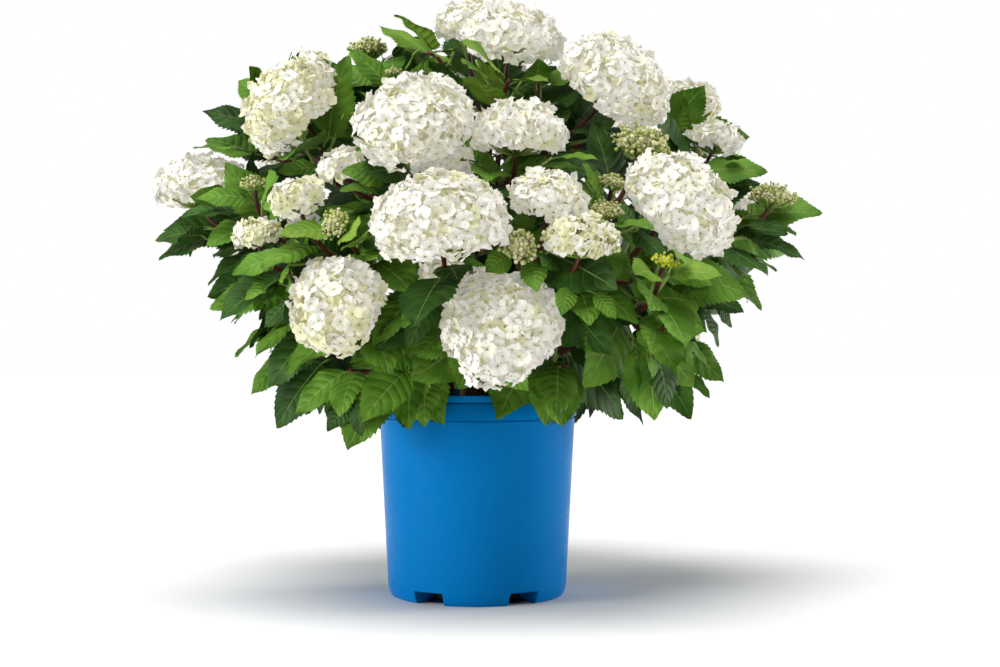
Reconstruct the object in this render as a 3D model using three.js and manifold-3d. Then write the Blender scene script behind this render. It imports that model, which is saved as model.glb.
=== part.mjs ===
// A white mophead hydrangea in a blue moulded nursery pot. Millimetres, +Z up, and the origin is the
// middle of the pot's flat underside. Nine canes rise from the potting mix. Each ends in a mass of
// foliage and carries more masses on its side, most of them on a bough. A mass is one shoot or a
// few: three-sided twigs, leaves in opposite pairs and the flower heads, fused to one solid.
import * as THREE from "three";
import { mergeVertices } from "three/addons/utils/BufferGeometryUtils.js";
import Module from "manifold-3d";

const wasm = await Module();
wasm.setup();

// ---------------------------------------------------------------- driving dimensions
const gap = 0.3; // between solids that touch
const finest = 0.008; // edges shorter than this are closed up where solids are fused
const pot = {
  height: 234,
  rimRadius: 115,
  bodyTopRadius: 113,
  bodyFootRadius: 103.5,
  soleRadius: 96.5,
  footRound: 19, // height of the curve where the wall turns in to the sole
  bandHeight: 27, // from the band's lower edge to the top of the lip
  lipHeight: 7.5,
  groove: 1.6, // depth and height of the groove under the lip
  wall: 2.6,
  floor: 4,
  segments: 32,
};
const notch = { width: 33, height: 14.5, depth: 15, turns: [-32, 32, 148, 212] };
const drain = { width: 28, height: 9.5, rise: 3.4 };
const soil = { top: 211, crown: 4 }; // the mix is heaped a little in the middle
const limb = { sides: 5, caneFoot: 6.5, caneTip: 4.6, flare: 1.4 };
const spreadCane = { foot: 36, knee: 292, reach: 108, height: 330 }; // upright to the knee
const tallCane = { foot: 13, knee: 350, reach: 44, height: 436 };
const bough = { foot: 4.3, tip: 3.5, share: 0.4, rise: 16 };
const twig = { foot: 3.6, tip: 2.7, fork: 0.3, approach: 60, steps: 3 };
const leaf = {
  length: 98, // blade of a full-grown leaf
  width: 0.64, // of its length
  petiole: 18,
  thick: 0.022, // of its length, at the keel
  firstPair: 14, // below the tip of a shoot
  spacing: 37, // between pairs
  pairs: 3,
  sag: 0.22, // how far the tip curls down, as a share of the length
  widest: 0.42,
  level: 0.35, // what is left of a stalk's rise or fall as it turns its leaf to the light
};
const head = { flatness: 0.76, swell: 1.05, bump: 0.04, sink: 0.4 }; // flatness is depth over half the width
const clear = { leaf: 9, limb: 3, twig: 4, head: 1, pot: 4 }; // left free round a leaf
const crownMiddle = 380;

// ---------------------------------------------------------------- places and seeded numbers
const rad = THREE.MathUtils.degToRad;
const up = new THREE.Vector3(0, 0, 1);

// turn is the way a place faces: 0 to the front (-Y), 90 to the right (+X), 180 to the back.
function outward(turn) {
  return new THREE.Vector3(Math.sin(rad(turn)), -Math.cos(rad(turn)), 0);
}

function place(turn, reach, height) {
  return outward(turn).multiplyScalar(reach).setZ(height);
}

// The same number from 0 to 1 for the same seed, every time.
function chance(seed) {
  const wave = Math.sin(seed * 12.9898) * 43758.5453;
  return wave - Math.floor(wave);
}

// ---------------------------------------------------------------- canes
// spread canes lean out low and carry the sides of the crown, tall ones stand up and carry its top.
const canes = [
  { name: "cane_front", turn: 0, kind: "spread" },
  { name: "cane_front_right", turn: 60, kind: "spread" },
  { name: "cane_back_right", turn: 120, kind: "spread" },
  { name: "cane_back", turn: 180, kind: "spread" },
  { name: "cane_back_left", turn: 240, kind: "spread" },
  { name: "cane_front_left", turn: 300, kind: "spread" },
  { name: "tall_cane_front", turn: 20, kind: "tall" },
  { name: "tall_cane_back", turn: 150, kind: "tall" },
  { name: "tall_cane_left", turn: 270, kind: "tall" },
];

// ---------------------------------------------------------------- masses of foliage
// Each shoot ends in a head of a kind: "open" is a white mophead, "young" a greenish one that is
// still small, "bud" a cluster of closed buds, and "leafy" has leaves only. width is the head's.
function shoot(kind, turn, reach, height, width = 0, lean = 0) {
  return { kind, turn, reach, height, width, lean };
}

// at is where on its cane the mass is carried, from the foot to the tip; 1 is the tip itself.
const frontMasses = [
  {
    name: "centre", cane: "cane_front", at: 1,
    shoots: [shoot("open", -6, 302, 414, 134, 22), shoot("open", -8, 236, 362, 46, 45)],
  },
  {
    name: "low_front", cane: "cane_front", at: 0.62,
    shoots: [shoot("open", 6, 271, 310, 119, 60), shoot("leafy", -13, 236, 340)],
  },
  {
    name: "front_right", cane: "cane_front", at: 0.84, onBough: true,
    shoots: [
      shoot("open", 16, 271, 440, 76, 15),
      shoot("young", 20, 309, 394, 69, 10),
      shoot("bud", 9, 290, 388, 36, 60),
      shoot("leafy", 25, 262, 352),
    ],
  },
  {
    name: "left_inner", cane: "cane_front_left", at: 1,
    shoots: [
      shoot("open", -37, 300, 440, 52, 20),
      shoot("bud", -27, 306, 412, 30, 60),
      shoot("young", -49, 301, 405, 46, 10),
      shoot("leafy", -38, 162, 372),
    ],
  },
  {
    name: "low_left", cane: "cane_front_left", at: 0.66, onBough: true,
    shoots: [shoot("open", -28, 295, 332, 98, 70)],
  },
  {
    name: "left", cane: "cane_front_left", at: 0.88, onBough: true,
    shoots: [
      shoot("open", -79, 316, 467, 100, 5),
      shoot("bud", -58, 280, 462, 27, 5),
      shoot("leafy", -86, 278, 424),
    ],
  },
  {
    name: "far_left_low", cane: "cane_front_left", at: 0.76, onBough: true,
    shoots: [shoot("leafy", -60, 246, 352), shoot("leafy", -76, 216, 322)],
  },
  {
    name: "rim_left", cane: "cane_front_left", at: 0.52,
    shoots: [shoot("leafy", -46, 190, 262), shoot("leafy", -22, 176, 262)],
  },
  {
    name: "right", cane: "cane_front_right", at: 1,
    shoots: [shoot("open", 45, 304, 436, 121, 54), shoot("leafy", 52, 268, 366)],
  },
  {
    name: "right_buds", cane: "cane_front_right", at: 0.9, onBough: true,
    shoots: [
      shoot("bud", 46, 244, 502, 55, 15),
      shoot("bud", 33, 261, 457, 27, 15),
      shoot("bud", 28, 286, 425, 32, 15),
    ],
  },
  {
    name: "right_tip", cane: "cane_front_right", at: 0.82, onBough: true,
    shoots: [
      shoot("bud", 80, 336, 455, 47, 10),
      shoot("leafy", 87, 318, 438),
      shoot("leafy", 88, 262, 490),
    ],
  },
  {
    name: "low_right", cane: "cane_front_right", at: 0.73, onBough: true,
    shoots: [
      shoot("bud", 33, 347, 373, 22, 20),
      shoot("bud", 37, 325, 318, 22, 30),
      shoot("leafy", 66, 256, 350),
    ],
  },
  {
    name: "rim_right", cane: "cane_front_right", at: 0.52,
    shoots: [
      shoot("leafy", 54, 196, 300),
      shoot("leafy", 34, 178, 268),
    ],
  },
  {
    name: "heart", cane: "tall_cane_front", at: 0.42,
    shoots: [shoot("leafy", -2, 132, 406), shoot("leafy", 28, 140, 386)],
  },
  {
    name: "top", cane: "tall_cane_front", at: 1,
    shoots: [shoot("open", -21, 32, 655, 74, 10), shoot("open", 23, 97, 630, 109, 15)],
  },
  {
    name: "top_right", cane: "tall_cane_front", at: 0.86, onBough: true,
    shoots: [
      shoot("open", 53, 191, 578, 127, 40),
      shoot("bud", 34, 120, 590, 16, 10),
      shoot("leafy", 60, 160, 518),
    ],
  },
  {
    name: "upper_front", cane: "tall_cane_front", at: 0.7,
    shoots: [shoot("open", 13, 195, 513, 99, 5), shoot("leafy", 14, 150, 574)],
  },
  {
    name: "top_left", cane: "tall_cane_left", at: 0.86, onBough: true,
    shoots: [
      shoot("open", -56, 243, 550, 116, 50),
      shoot("leafy", -88, 248, 540),
      shoot("leafy", -80, 258, 506),
    ],
  },
  {
    name: "upper_left", cane: "tall_cane_left", at: 0.68, onBough: true,
    shoots: [
      shoot("open", -16, 224, 522, 124, 36),
      shoot("open", -39, 222, 478, 48, 20),
      shoot("open", -11, 176, 482, 62, 0),
    ],
  },
  {
    name: "left_crown", cane: "tall_cane_left", at: 1,
    shoots: [
      shoot("bud", -99, 131, 634, 42, 10),
      shoot("bud", -112, 178, 608, 20, 10),
      shoot("bud", -60, 110, 596, 18, 10),
      shoot("leafy", -100, 150, 608),
      shoot("leafy", -75, 60, 626),
    ],
  },
  {
    name: "right_shoulder", cane: "tall_cane_back", at: 0.84, onBough: true,
    shoots: [shoot("open", 103, 261, 579, 67, 20), shoot("open", 92, 277, 528, 62, 10)],
  },
  {
    name: "back_crown", cane: "tall_cane_back", at: 1,
    shoots: [shoot("open", 176, 108, 615, 112, 20), shoot("young", 132, 168, 592, 54, 15)],
  },
];

// Round the back the same three tiers repeat on each cane, each set a little off the last.
const backRow = [
  { cane: "cane_back_right", side: "back_right", turn: 122 },
  { cane: "cane_back", side: "back", turn: 180 },
  { cane: "cane_back_left", side: "back_left", turn: 238 },
];

function backMasses() {
  return backRow.flatMap(({ cane, side, turn }, row) => {
    const vary = (seed, by) => (chance(90 + row * 10 + seed) - 0.5) * 2 * by;
    return [
      {
        name: side + "_middle", cane, at: 1,
        shoots: [
          shoot("open", turn - 13 + vary(1, 3), 318, 440 + vary(2, 12), 118, 30),
          shoot("young", turn + 12 + vary(3, 3), 307, 418 + vary(4, 8), 66, 45),
        ],
      },
      {
        name: side + "_high", cane, at: 0.7, onBough: true,
        shoots: [
          shoot("open", turn + 8 + vary(5, 3), 236 + vary(6, 8), 532 + vary(7, 12), 116, 35),
          shoot("bud", turn - 22, 250, 520, 36, 10),
        ],
      },
      {
        name: side + "_low", cane, at: 0.5,
        shoots: [
          shoot("open", turn * 0.9 + 18 + vary(8, 4), 284, 320 + vary(9, 8), 102, 62),
          shoot("leafy", turn - 22, 236, 292),
          shoot("leafy", turn + 25, 222, 278),
        ],
      },
    ];
  });
}

// ---------------------------------------------------------------- solids
// A manifold solid of a closed three.js geometry.
function solidOf(geometry) {
  const bare = geometry.clone();
  bare.deleteAttribute("normal");
  bare.deleteAttribute("uv");
  const merged = mergeVertices(bare, 1e-4);
  const triVerts = new Uint32Array(merged.index.array);
  return new wasm.Manifold(
    new wasm.Mesh({ numProp: 3, vertProperties: merged.attributes.position.array, triVerts }),
  );
}

function geometryOf(manifold) {
  const { vertProperties, triVerts } = manifold.getMesh();
  const geometry = new THREE.BufferGeometry();
  geometry.setAttribute("position", new THREE.BufferAttribute(vertProperties, 3));
  geometry.setIndex(new THREE.BufferAttribute(triVerts, 1));
  geometry.computeVertexNormals();
  return geometry;
}

// The largest piece of a solid: hollows sealed by fusing are filled, and loose scraps dropped.
function wholeOf(manifold) {
  const pieces = manifold.simplify(finest).decompose();
  return pieces.reduce((best, one) => (one.volume() > best.volume() ? one : best));
}

// Moves every vertex of a geometry to where the given function puts it.
function reshaped(geometry, put) {
  const position = geometry.getAttribute("position");
  const vertex = new THREE.Vector3();
  for (let i = 0; i < position.count; i++) {
    vertex.fromBufferAttribute(position, i);
    const moved = put(vertex);
    position.setXYZ(i, moved.x, moved.y, moved.z);
  }
  return geometry;
}

// A cylinder bent along a curve, with its radius given from the foot (0) to the tip (1).
function limbSolid(curve, radiusAt, sides, steps) {
  const frames = curve.computeFrenetFrames(steps);
  const shape = new THREE.CylinderGeometry(1, 1, 1, sides, steps);
  return solidOf(
    reshaped(shape, ({ x, y, z }) => {
      const t = y + 0.5;
      const step = Math.round(t * steps);
      const radius = radiusAt(t);
      const side = frames.normals[step];
      const third = side.clone().cross(frames.tangents[step]);
      return curve
        .getPointAt(Math.min(t, 1))
        .addScaledVector(side, x * radius)
        .addScaledVector(third, z * radius);
    }),
  );
}

function taper(from, to) {
  return (t) => from + (to - from) * t;
}

// ---------------------------------------------------------------- pot and potting mix
function curveIn(radius, sole, height) {
  // a quarter of an ellipse from the sole up to the wall
  return [0, 0.3, 0.62, 1].map((share) => {
    const angle = (share * Math.PI) / 2;
    return [sole + (radius - sole) * Math.sin(angle), height * (1 - Math.cos(angle))];
  });
}

function lathe(points) {
  const profile = points.map(([radius, height]) => new THREE.Vector2(radius, height));
  const turned = new THREE.LatheGeometry(profile, pot.segments);
  return solidOf(turned.rotateX(Math.PI / 2));
}

// A block whose outer end stands past the pot's wall, at a turn round its axis.
function radialBlock(turn, inner, width, bottom, top) {
  const length = pot.rimRadius + 20 - inner;
  const block = new THREE.BoxGeometry(width, length, top - bottom);
  block.translate(0, -inner - length / 2, (top + bottom) / 2);
  return solidOf(block.rotateZ(rad(turn)));
}

function notchBlocks(grow) {
  const inner = pot.soleRadius - notch.depth - grow;
  return notch.turns
    .map((turn) =>
      radialBlock(turn, inner, notch.width + 2 * grow, -10, notch.height + grow),
    )
    .reduce((all, block) => all.add(block));
}

function potSolid() {
  const bandFoot = pot.height - pot.bandHeight;
  const lipFoot = pot.height - pot.lipHeight;
  const outer = lathe([
    [0, 0],
    ...curveIn(pot.bodyFootRadius, pot.soleRadius, pot.footRound),
    [pot.bodyTopRadius, bandFoot],
    [pot.rimRadius, bandFoot + 0.6],
    [pot.rimRadius, lipFoot - pot.groove],
    [pot.rimRadius - pot.groove, lipFoot - pot.groove],
    [pot.rimRadius - pot.groove, lipFoot],
    [pot.rimRadius - 0.4, lipFoot],
    [pot.rimRadius - 0.4, pot.height],
    [0, pot.height],
  ]);
  const inner = insideOfPot(0, pot.height + 5, 0);
  const holes = notch.turns
    .map((turn) => radialBlock(turn, pot.soleRadius - 25, drain.width, drain.rise, drain.rise + drain.height))
    .reduce((all, block) => all.add(block));
  return outer.subtract(notchBlocks(0)).subtract(inner).subtract(holes);
}

// What the pot's walls leave inside, drawn in by a clearance, up to a top that may be heaped.
function insideOfPot(clearance, top, heap) {
  const wall = pot.wall + clearance;
  const foot = pot.floor + clearance;
  const radiusAt = (height) =>
    THREE.MathUtils.mapLinear(
      height, pot.footRound, pot.height, pot.bodyFootRadius, pot.bodyTopRadius + 1,
    ) - wall;
  const hollow = lathe([
    [0, foot],
    [pot.soleRadius - wall, foot],
    [radiusAt(pot.footRound), pot.footRound + 2],
    [radiusAt(top), top],
    ...(heap ? [[radiusAt(top) * 0.55, top + heap]] : []),
    [0, top + heap],
  ]);
  return hollow.subtract(notchBlocks(wall));
}

// ---------------------------------------------------------------- canes and boughs
function caneCurve({ turn, kind }) {
  const shape = kind === "tall" ? tallCane : spreadCane;
  return new THREE.QuadraticBezierCurve3(
    place(turn, shape.foot, soil.top + soil.crown + gap),
    place(turn, shape.foot, shape.knee),
    place(turn, shape.reach, shape.height),
  );
}

function caneRadius(grow) {
  // the foot flares where the cane leaves the mix
  return (t) =>
    taper(limb.caneFoot, limb.caneTip)(t) * (1 + (limb.flare - 1) * Math.max(0, 1 - t * 8)) + grow;
}

// The bough starts on its cane's axis and is cut back to the cane's bark.
function boughCurve(mass) {
  const from = mass.caneCurve.getPointAt(mass.at);
  const middle = mass.shoots
    .reduce((sum, one) => sum.add(one.end), new THREE.Vector3())
    .divideScalar(mass.shoots.length);
  const to = from.clone().lerp(middle, bough.share);
  const knee = from.clone().lerp(to, 0.5).addScaledVector(up, -bough.rise);
  return new THREE.QuadraticBezierCurve3(from, knee, to);
}

// ---------------------------------------------------------------- shoots, leaves and heads
function headAxis({ turn, lean }) {
  return outward(turn).multiplyScalar(Math.sin(rad(lean))).setZ(Math.cos(rad(lean)));
}

function headDepth({ width }) {
  return (width / 2) * head.flatness;
}

// Where a shoot's twig stops: inside the foot of its head, or at its own tip if it has none.
function shootEnd(one) {
  return one.centre.clone().addScaledVector(headAxis(one), -head.sink * headDepth(one));
}

// A shoot leaves its stem the way the stem grows, and rises into its head along the head's axis.
function shootCurve(from, way, one) {
  const reach = from.distanceTo(one.end);
  const rise = one.kind === "leafy" ? outward(one.turn).setZ(0.15).normalize() : headAxis(one);
  return new THREE.CubicBezierCurve3(
    from,
    from.clone().addScaledVector(way, 0.3 * reach),
    one.end.clone().addScaledVector(rise, -Math.min(0.35 * reach, twig.approach)),
    one.end,
  );
}

function headSolid(one, seed) {
  const axis = headAxis(one);
  const side = new THREE.Vector3().crossVectors(up, outward(one.turn)).normalize();
  const third = new THREE.Vector3().crossVectors(axis, side);
  const detail = one.width > 60 ? 2 : 1;
  const ball = mergeVertices(bareGeometry(new THREE.OctahedronGeometry(1, detail)), 1e-4);
  let index = 0;
  return solidOf(
    reshaped(ball, ({ x, y, z }) => {
      const bump = 1 + head.bump * (chance(seed + index++) * 2 - 1);
      const depth = z < -0.3 ? -0.3 + (z + 0.3) * 0.45 : z; // the underside is nearly flat
      return one.centre
        .clone()
        .addScaledVector(side, (x * bump * head.swell * one.width) / 2)
        .addScaledVector(third, (y * bump * head.swell * one.width) / 2)
        .addScaledVector(axis, depth * bump * headDepth(one));
    }),
  );
}

function bareGeometry(geometry) {
  geometry.deleteAttribute("normal");
  geometry.deleteAttribute("uv");
  return geometry;
}

// The rule for every leaf: pairs sit opposite each other, each pair a quarter turn on from the
// last. A leaf looks up and out of the crown, and hangs more the lower it grows.
function leafAt(curve, below, round, size, splay, droopMore) {
  const along = 1 - below / curve.getLength();
  const node = curve.getPointAt(along);
  const tangent = curve.getTangentAt(along);
  const level = new THREE.Vector3().crossVectors(tangent, up);
  if (level.lengthSq() < 0.05) level.crossVectors(tangent, outward(0));
  level.normalize().applyAxisAngle(tangent, round);
  level.z *= leaf.level;
  const out = node.clone().setZ(node.z - crownMiddle).normalize();
  const stalk = level
    .multiplyScalar(Math.sin(rad(splay)))
    .addScaledVector(tangent, Math.cos(rad(splay)))
    .normalize();
  const droop = THREE.MathUtils.clamp((480 - node.z) / 300, 0.08, 0.6) + droopMore;
  const way = stalk.clone().addScaledVector(out, 0.45).addScaledVector(up, -droop).normalize();
  const facing = outward(node.y < 40 ? 0 : 180);
  const face = up.clone().multiplyScalar(0.55).addScaledVector(out, 0.45).addScaledVector(facing, 0.5);
  const normal = face.addScaledVector(way, -face.dot(way)).normalize();
  const side = new THREE.Vector3().crossVectors(normal, way);
  const length = leaf.length * size;
  const root = node.clone().addScaledVector(stalk, -0.9 * size);
  const neck = node.clone().addScaledVector(stalk, leaf.petiole * (0.5 + 0.5 * size));
  const half = (length * leaf.width) / 2;
  const spine = (u) =>
    neck.clone().addScaledVector(way, length * u).addScaledVector(normal, -leaf.sag * length * u * u);
  return { root, normal, side, length, half, spine };
}

// Half the blade's width from its foot (0) to its tip (1), as a share of the widest.
function bladeWidth(u) {
  const before = u < leaf.widest;
  const share = before ? u / leaf.widest : (1 - u) / (1 - leaf.widest);
  return before ? Math.sqrt(share * (2 - share)) : share ** 0.8;
}

// Points all over the leaf: its stalk, its keel and both edges.
function leafPoints(one) {
  const blade = [0.05, 0.25, 0.45, 0.65, 0.85, 1].flatMap((u) =>
    (u === 1 ? [0] : [-1, 0, 1]).map((v) =>
      one.spine(u).addScaledVector(one.side, v * one.half * bladeWidth(u)),
    ),
  );
  return [one.root.clone().lerp(one.spine(0), 0.6), ...blade];
}

// Two three-sided points joined at the widest place: flat above, with a keel below. The first
// has its root in the middle of the twig.
function leafSolid(one) {
  const middle = one.spine(leaf.widest);
  const shape = new THREE.ConeGeometry(1, 1, 3, 2);
  return solidOf(
    reshaped(shape, ({ x, y, z }) => {
      if (y < -0.4) return one.root.clone();
      if (y > 0.4) return one.spine(1);
      const thick = leaf.thick * one.length;
      return middle
        .clone()
        .addScaledVector(one.side, (x / 0.5 / Math.sin(Math.PI / 3)) * one.half)
        .addScaledVector(one.normal, thick / 3 - ((z / 0.5 + 0.5) / 1.5) * thick);
    }),
  );
}

// ---------------------------------------------------------------- room for a leaf
function distanceToLine(point, line) {
  let best = Infinity;
  const near = new THREE.Vector3();
  for (let i = 1; i < line.length; i++) {
    new THREE.Line3(line[i - 1], line[i]).closestPointToPoint(point, true, near);
    best = Math.min(best, near.distanceTo(point));
  }
  return best;
}

function inHead(point, one) {
  if (!one.width) return false;
  const from = point.clone().sub(one.centre);
  const along = from.dot(headAxis(one));
  const across = Math.sqrt(Math.max(0, from.lengthSq() - along * along));
  const deep = headDepth(one) + clear.head;
  const wide = one.width / 2 + clear.head;
  return (along / deep) ** 2 + (across / wide) ** 2 < 1;
}

function inPot({ x, y, z }) {
  return z < pot.height + clear.pot && Math.hypot(x, y) < pot.rimRadius + clear.pot;
}

// Only the shoots at the rim hang in front of the pot.
function hidesPot({ x, y, z }) {
  return z < pot.height + clear.pot && y < 0 && Math.abs(x) < pot.rimRadius;
}

// A leaf grows only where it's clear of the pot, the heads, the limbs, the twigs of the other
// masses and every leaf before it.
function leafFits(points, mass, plant) {
  if (points.some(inPot)) return false;
  if (!mass.name.startsWith("rim") && points.some(hidesPot)) return false;
  if (plant.heads.some((one) => points.some((p) => inHead(p, one)))) return false;
  for (const { line, radius } of plant.limbs) {
    if (points.some((p) => distanceToLine(p, line) < radius + clear.limb)) return false;
  }
  for (const other of plant.masses) {
    if (other === mass) continue;
    for (const line of other.lines) {
      if (points.some((p) => distanceToLine(p, line) < twig.foot + clear.twig)) return false;
    }
  }
  return plant.leafPoints.every((q) => points.every((p) => p.distanceToSquared(q) > clear.leaf ** 2));
}

// ---------------------------------------------------------------- growing
function layOut() {
  const limbs = canes.map((cane) => {
    const curve = caneCurve(cane);
    return { ...cane, curve, line: curve.getPoints(6), radius: limb.caneFoot };
  });
  const masses = [...frontMasses, ...backMasses()];
  for (const mass of masses) {
    mass.caneCurve = limbs.find(({ name }) => name === mass.cane).curve;
    for (const one of mass.shoots) {
      one.centre = place(one.turn, one.reach, one.height);
      one.end = one.width ? shootEnd(one) : one.centre.clone();
    }
    let from = mass.caneCurve.getPointAt(mass.at);
    let way = mass.caneCurve.getTangentAt(mass.at);
    if (mass.onBough) {
      mass.bough = boughCurve(mass);
      from = mass.bough.getPointAt(1);
      way = mass.bough.getTangentAt(1);
      limbs.push({ line: mass.bough.getPoints(4), radius: bough.foot });
    }
    // a mass at a limb's tip starts clear of it; one on a cane's side is cut back to the bark
    mass.root = mass.at < 1 && !mass.onBough ? from : from.clone().addScaledVector(way, gap);
    const middle = mass.shoots
      .reduce((sum, one) => sum.add(one.end), new THREE.Vector3())
      .divideScalar(mass.shoots.length);
    const several = mass.shoots.length > 1;
    mass.fork = several ? mass.root.clone().lerp(middle, twig.fork) : mass.root;
    mass.stem = several
      ? new THREE.QuadraticBezierCurve3(
          mass.root,
          mass.root.clone().addScaledVector(way, mass.root.distanceTo(mass.fork) * 0.5),
          mass.fork,
        )
      : null;
    const forward = mass.stem ? mass.stem.getTangentAt(1) : way;
    mass.curves = mass.shoots.map((one, s) => {
      // each twig is rooted a little further back inside the stem than the one before
      const root = mass.stem ? mass.stem.getPointAt(0.95 - 0.07 * s) : mass.root;
      return shootCurve(root, forward, one);
    });
    mass.lines = [...(several ? [mass.stem] : []), ...mass.curves].map((c) => c.getPoints(5));
    mass.leaves = [];
  }
  const heads = masses.flatMap(({ shoots }) => shoots);
  const plant = { limbs, masses, heads, leafPoints: [] };
  growLeaves(plant);
  return plant;
}

// How a leaf that doesn't fit is tried again: smaller, hung lower or turned aside.
const tries = [
  { size: 1, droop: 0, turn: 0 },
  { size: 1, droop: 0.35, turn: 0.3 },
  { size: 0.95, droop: -0.25, turn: -0.4 },
  { size: 0.85, droop: 0.15, turn: 0.7 },
  { size: 0.85, droop: 0.2, turn: -0.8 },
  { size: 0.7, droop: 0.5, turn: -0.2 },
  { size: 0.66, droop: -0.3, turn: 0.3 },
  { size: 0.55, droop: 0.1, turn: 0.9 },
  { size: 0.5, droop: 0.6, turn: -0.9 },
];

// The pairs nearest the shoots' tips come first, all over the plant, then the next pairs down.
function growLeaves(plant) {
  for (let pair = 0; pair < leaf.pairs; pair++) {
    plant.masses.forEach((mass, number) => {
      mass.shoots.forEach((one, s) => {
        for (const half of [0, 1]) {
          const made = growLeaf(mass, mass.curves[s], one, number * 1000 + s * 100, pair, half, plant);
          if (made) mass.leaves.push(made);
        }
      });
    });
  }
}

function growLeaf(mass, curve, one, shootSeed, pair, half, plant) {
  const below = leaf.firstPair + pair * leaf.spacing + (one.width ? 6 : 0);
  if (below > curve.getLength() * 0.92) return null;
  const seed = shootSeed + pair * 2 + half;
  const young = one.width > 60 || one.kind === "leafy" ? 0.72 : 0.55;
  const grown = Math.min(1, young + pair * 0.2) * (0.92 + 0.2 * chance(seed + 0.5));
  const round = (pair % 2) * (Math.PI / 2) + half * Math.PI + (chance(seed) - 0.5) * 0.6;
  const splay = 40 + Math.min(pair, 2) * 13;
  for (const { size, droop, turn } of tries) {
    const made = leafAt(curve, below, round + turn, grown * size, splay, droop);
    const points = leafPoints(made);
    if (leafFits(points, mass, plant)) {
      plant.leafPoints.push(...points);
      return made;
    }
  }
  return null;
}

// A mass without its leaves.
function frameSolid(mass, number) {
  const twigs = mass.shoots.map((one, s) =>
    limbSolid(mass.curves[s], taper(twig.foot - 0.1 * (s + 1), twig.tip), 3, twig.steps),
  );
  const stem = mass.stem ? [limbSolid(mass.stem, taper(twig.foot, twig.foot), 3, 2)] : [];
  const heads = mass.shoots
    .filter(({ width }) => width)
    .map((one, s) => headSolid(one, number * 100 + s));
  return wasm.Manifold.union([...stem, ...twigs, ...heads]);
}

function touches(solid, others) {
  return others.some((other) => !solid.intersect(other).isEmpty());
}

const look = {
  pot: { color: 0x0b78c8, roughness: 0.38, metalness: 0 },
  soil: { color: 0x3a2a20, roughness: 1, metalness: 0 },
  cane: { color: 0x8a6a4c, roughness: 0.85, metalness: 0 },
  bough: { color: 0x6d4433, roughness: 0.7, metalness: 0 },
  foliage: { color: 0x3f7a2c, roughness: 0.6, metalness: 0 },
};

function named(name, manifold, kind) {
  const mesh = new THREE.Mesh(geometryOf(manifold), new THREE.MeshStandardMaterial(look[kind]));
  mesh.name = name;
  return mesh;
}

const hydrangea = new THREE.Group();
const { limbs, masses } = layOut();

hydrangea.add(named("pot", potSolid(), "pot"));
hydrangea.add(named("potting_mix", insideOfPot(gap, soil.top, soil.crown), "soil"));

const fatCanes = new Map();
for (const cane of limbs.filter(({ kind }) => kind)) {
  hydrangea.add(named(cane.name, limbSolid(cane.curve, caneRadius(0), limb.sides, 4), "cane"));
  fatCanes.set(cane.name, limbSolid(cane.curve, caneRadius(gap), limb.sides, 4));
}

const frames = masses.map((mass, number) => {
  const frame = frameSolid(mass, number);
  if (!mass.bough) return frame.subtract(fatCanes.get(mass.cane));
  const grown = limbSolid(mass.bough, taper(bough.foot, bough.tip), limb.sides, 3);
  const kept = wholeOf(grown.subtract(fatCanes.get(mass.cane)));
  hydrangea.add(named("bough_" + mass.name, kept, "bough"));
  return frame;
});

const grown = [];
masses.forEach((mass, number) => {
  const others = [...grown, ...frames.slice(number + 1)];
  const leaves = mass.leaves.map(leafSolid).filter((one) => !touches(one, others));
  grown.push(wholeOf(wasm.Manifold.union([frames[number], ...leaves])));
  hydrangea.add(named("mass_" + mass.name, grown[number], "foliage"));
});

export default hydrangea;
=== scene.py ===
import math

import bpy
import numpy as np
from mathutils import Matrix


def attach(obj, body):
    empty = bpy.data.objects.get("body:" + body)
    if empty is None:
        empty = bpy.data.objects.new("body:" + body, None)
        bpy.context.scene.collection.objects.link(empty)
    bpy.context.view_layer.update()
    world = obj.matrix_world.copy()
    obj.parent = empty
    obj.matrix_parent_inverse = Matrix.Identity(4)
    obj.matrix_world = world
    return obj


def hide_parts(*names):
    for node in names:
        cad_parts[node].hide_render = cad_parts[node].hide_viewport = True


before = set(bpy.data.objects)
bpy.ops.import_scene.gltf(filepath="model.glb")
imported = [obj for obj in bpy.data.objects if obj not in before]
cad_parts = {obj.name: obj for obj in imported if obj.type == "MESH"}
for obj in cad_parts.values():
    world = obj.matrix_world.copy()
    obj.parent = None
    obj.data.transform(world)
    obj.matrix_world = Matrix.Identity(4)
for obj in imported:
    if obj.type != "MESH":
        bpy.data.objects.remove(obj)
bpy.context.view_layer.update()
print("frame loaded")

# Lengths below are millimetres. addPiece turns them to metres.
up = np.array([0.0, 0.0, 1.0])


def unit(v):
    # every vector divided by its own length
    return v / np.maximum(np.linalg.norm(v, axis=-1, keepdims=True), 1e-9)


def outward(turn):
    # level direction: 0 is the front, -Y, and 90 is +X
    return np.array([math.sin(math.radians(turn)), -math.cos(math.radians(turn)), 0.0])


def place(turn, reach, height):
    return outward(turn) * reach + up * height


def chance(seed):
    # the fraction of a large sine: 0 to 1, always the same for one seed
    wave = np.sin(np.asarray(seed, float) * 12.9898) * 43758.5453
    return wave - np.floor(wave)


def smooth(low, high, x):
    t = np.clip((x - low) / (high - low), 0, 1)
    return t * t * (3 - 2 * t)


def circle(count):
    return np.arange(count) / count * 2 * math.pi


def spiral(count, lowest, turn=0):
    # a Fibonacci spiral on the unit ball, from its top down to the height lowest
    k = np.arange(count) + 0.5
    z = 1 - (1 - lowest) * k / count
    ring = np.sqrt(np.maximum(0, 1 - z * z))
    angle = k * math.pi * (3 - math.sqrt(5)) + turn
    return ring * np.cos(angle), ring * np.sin(angle), z


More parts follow.
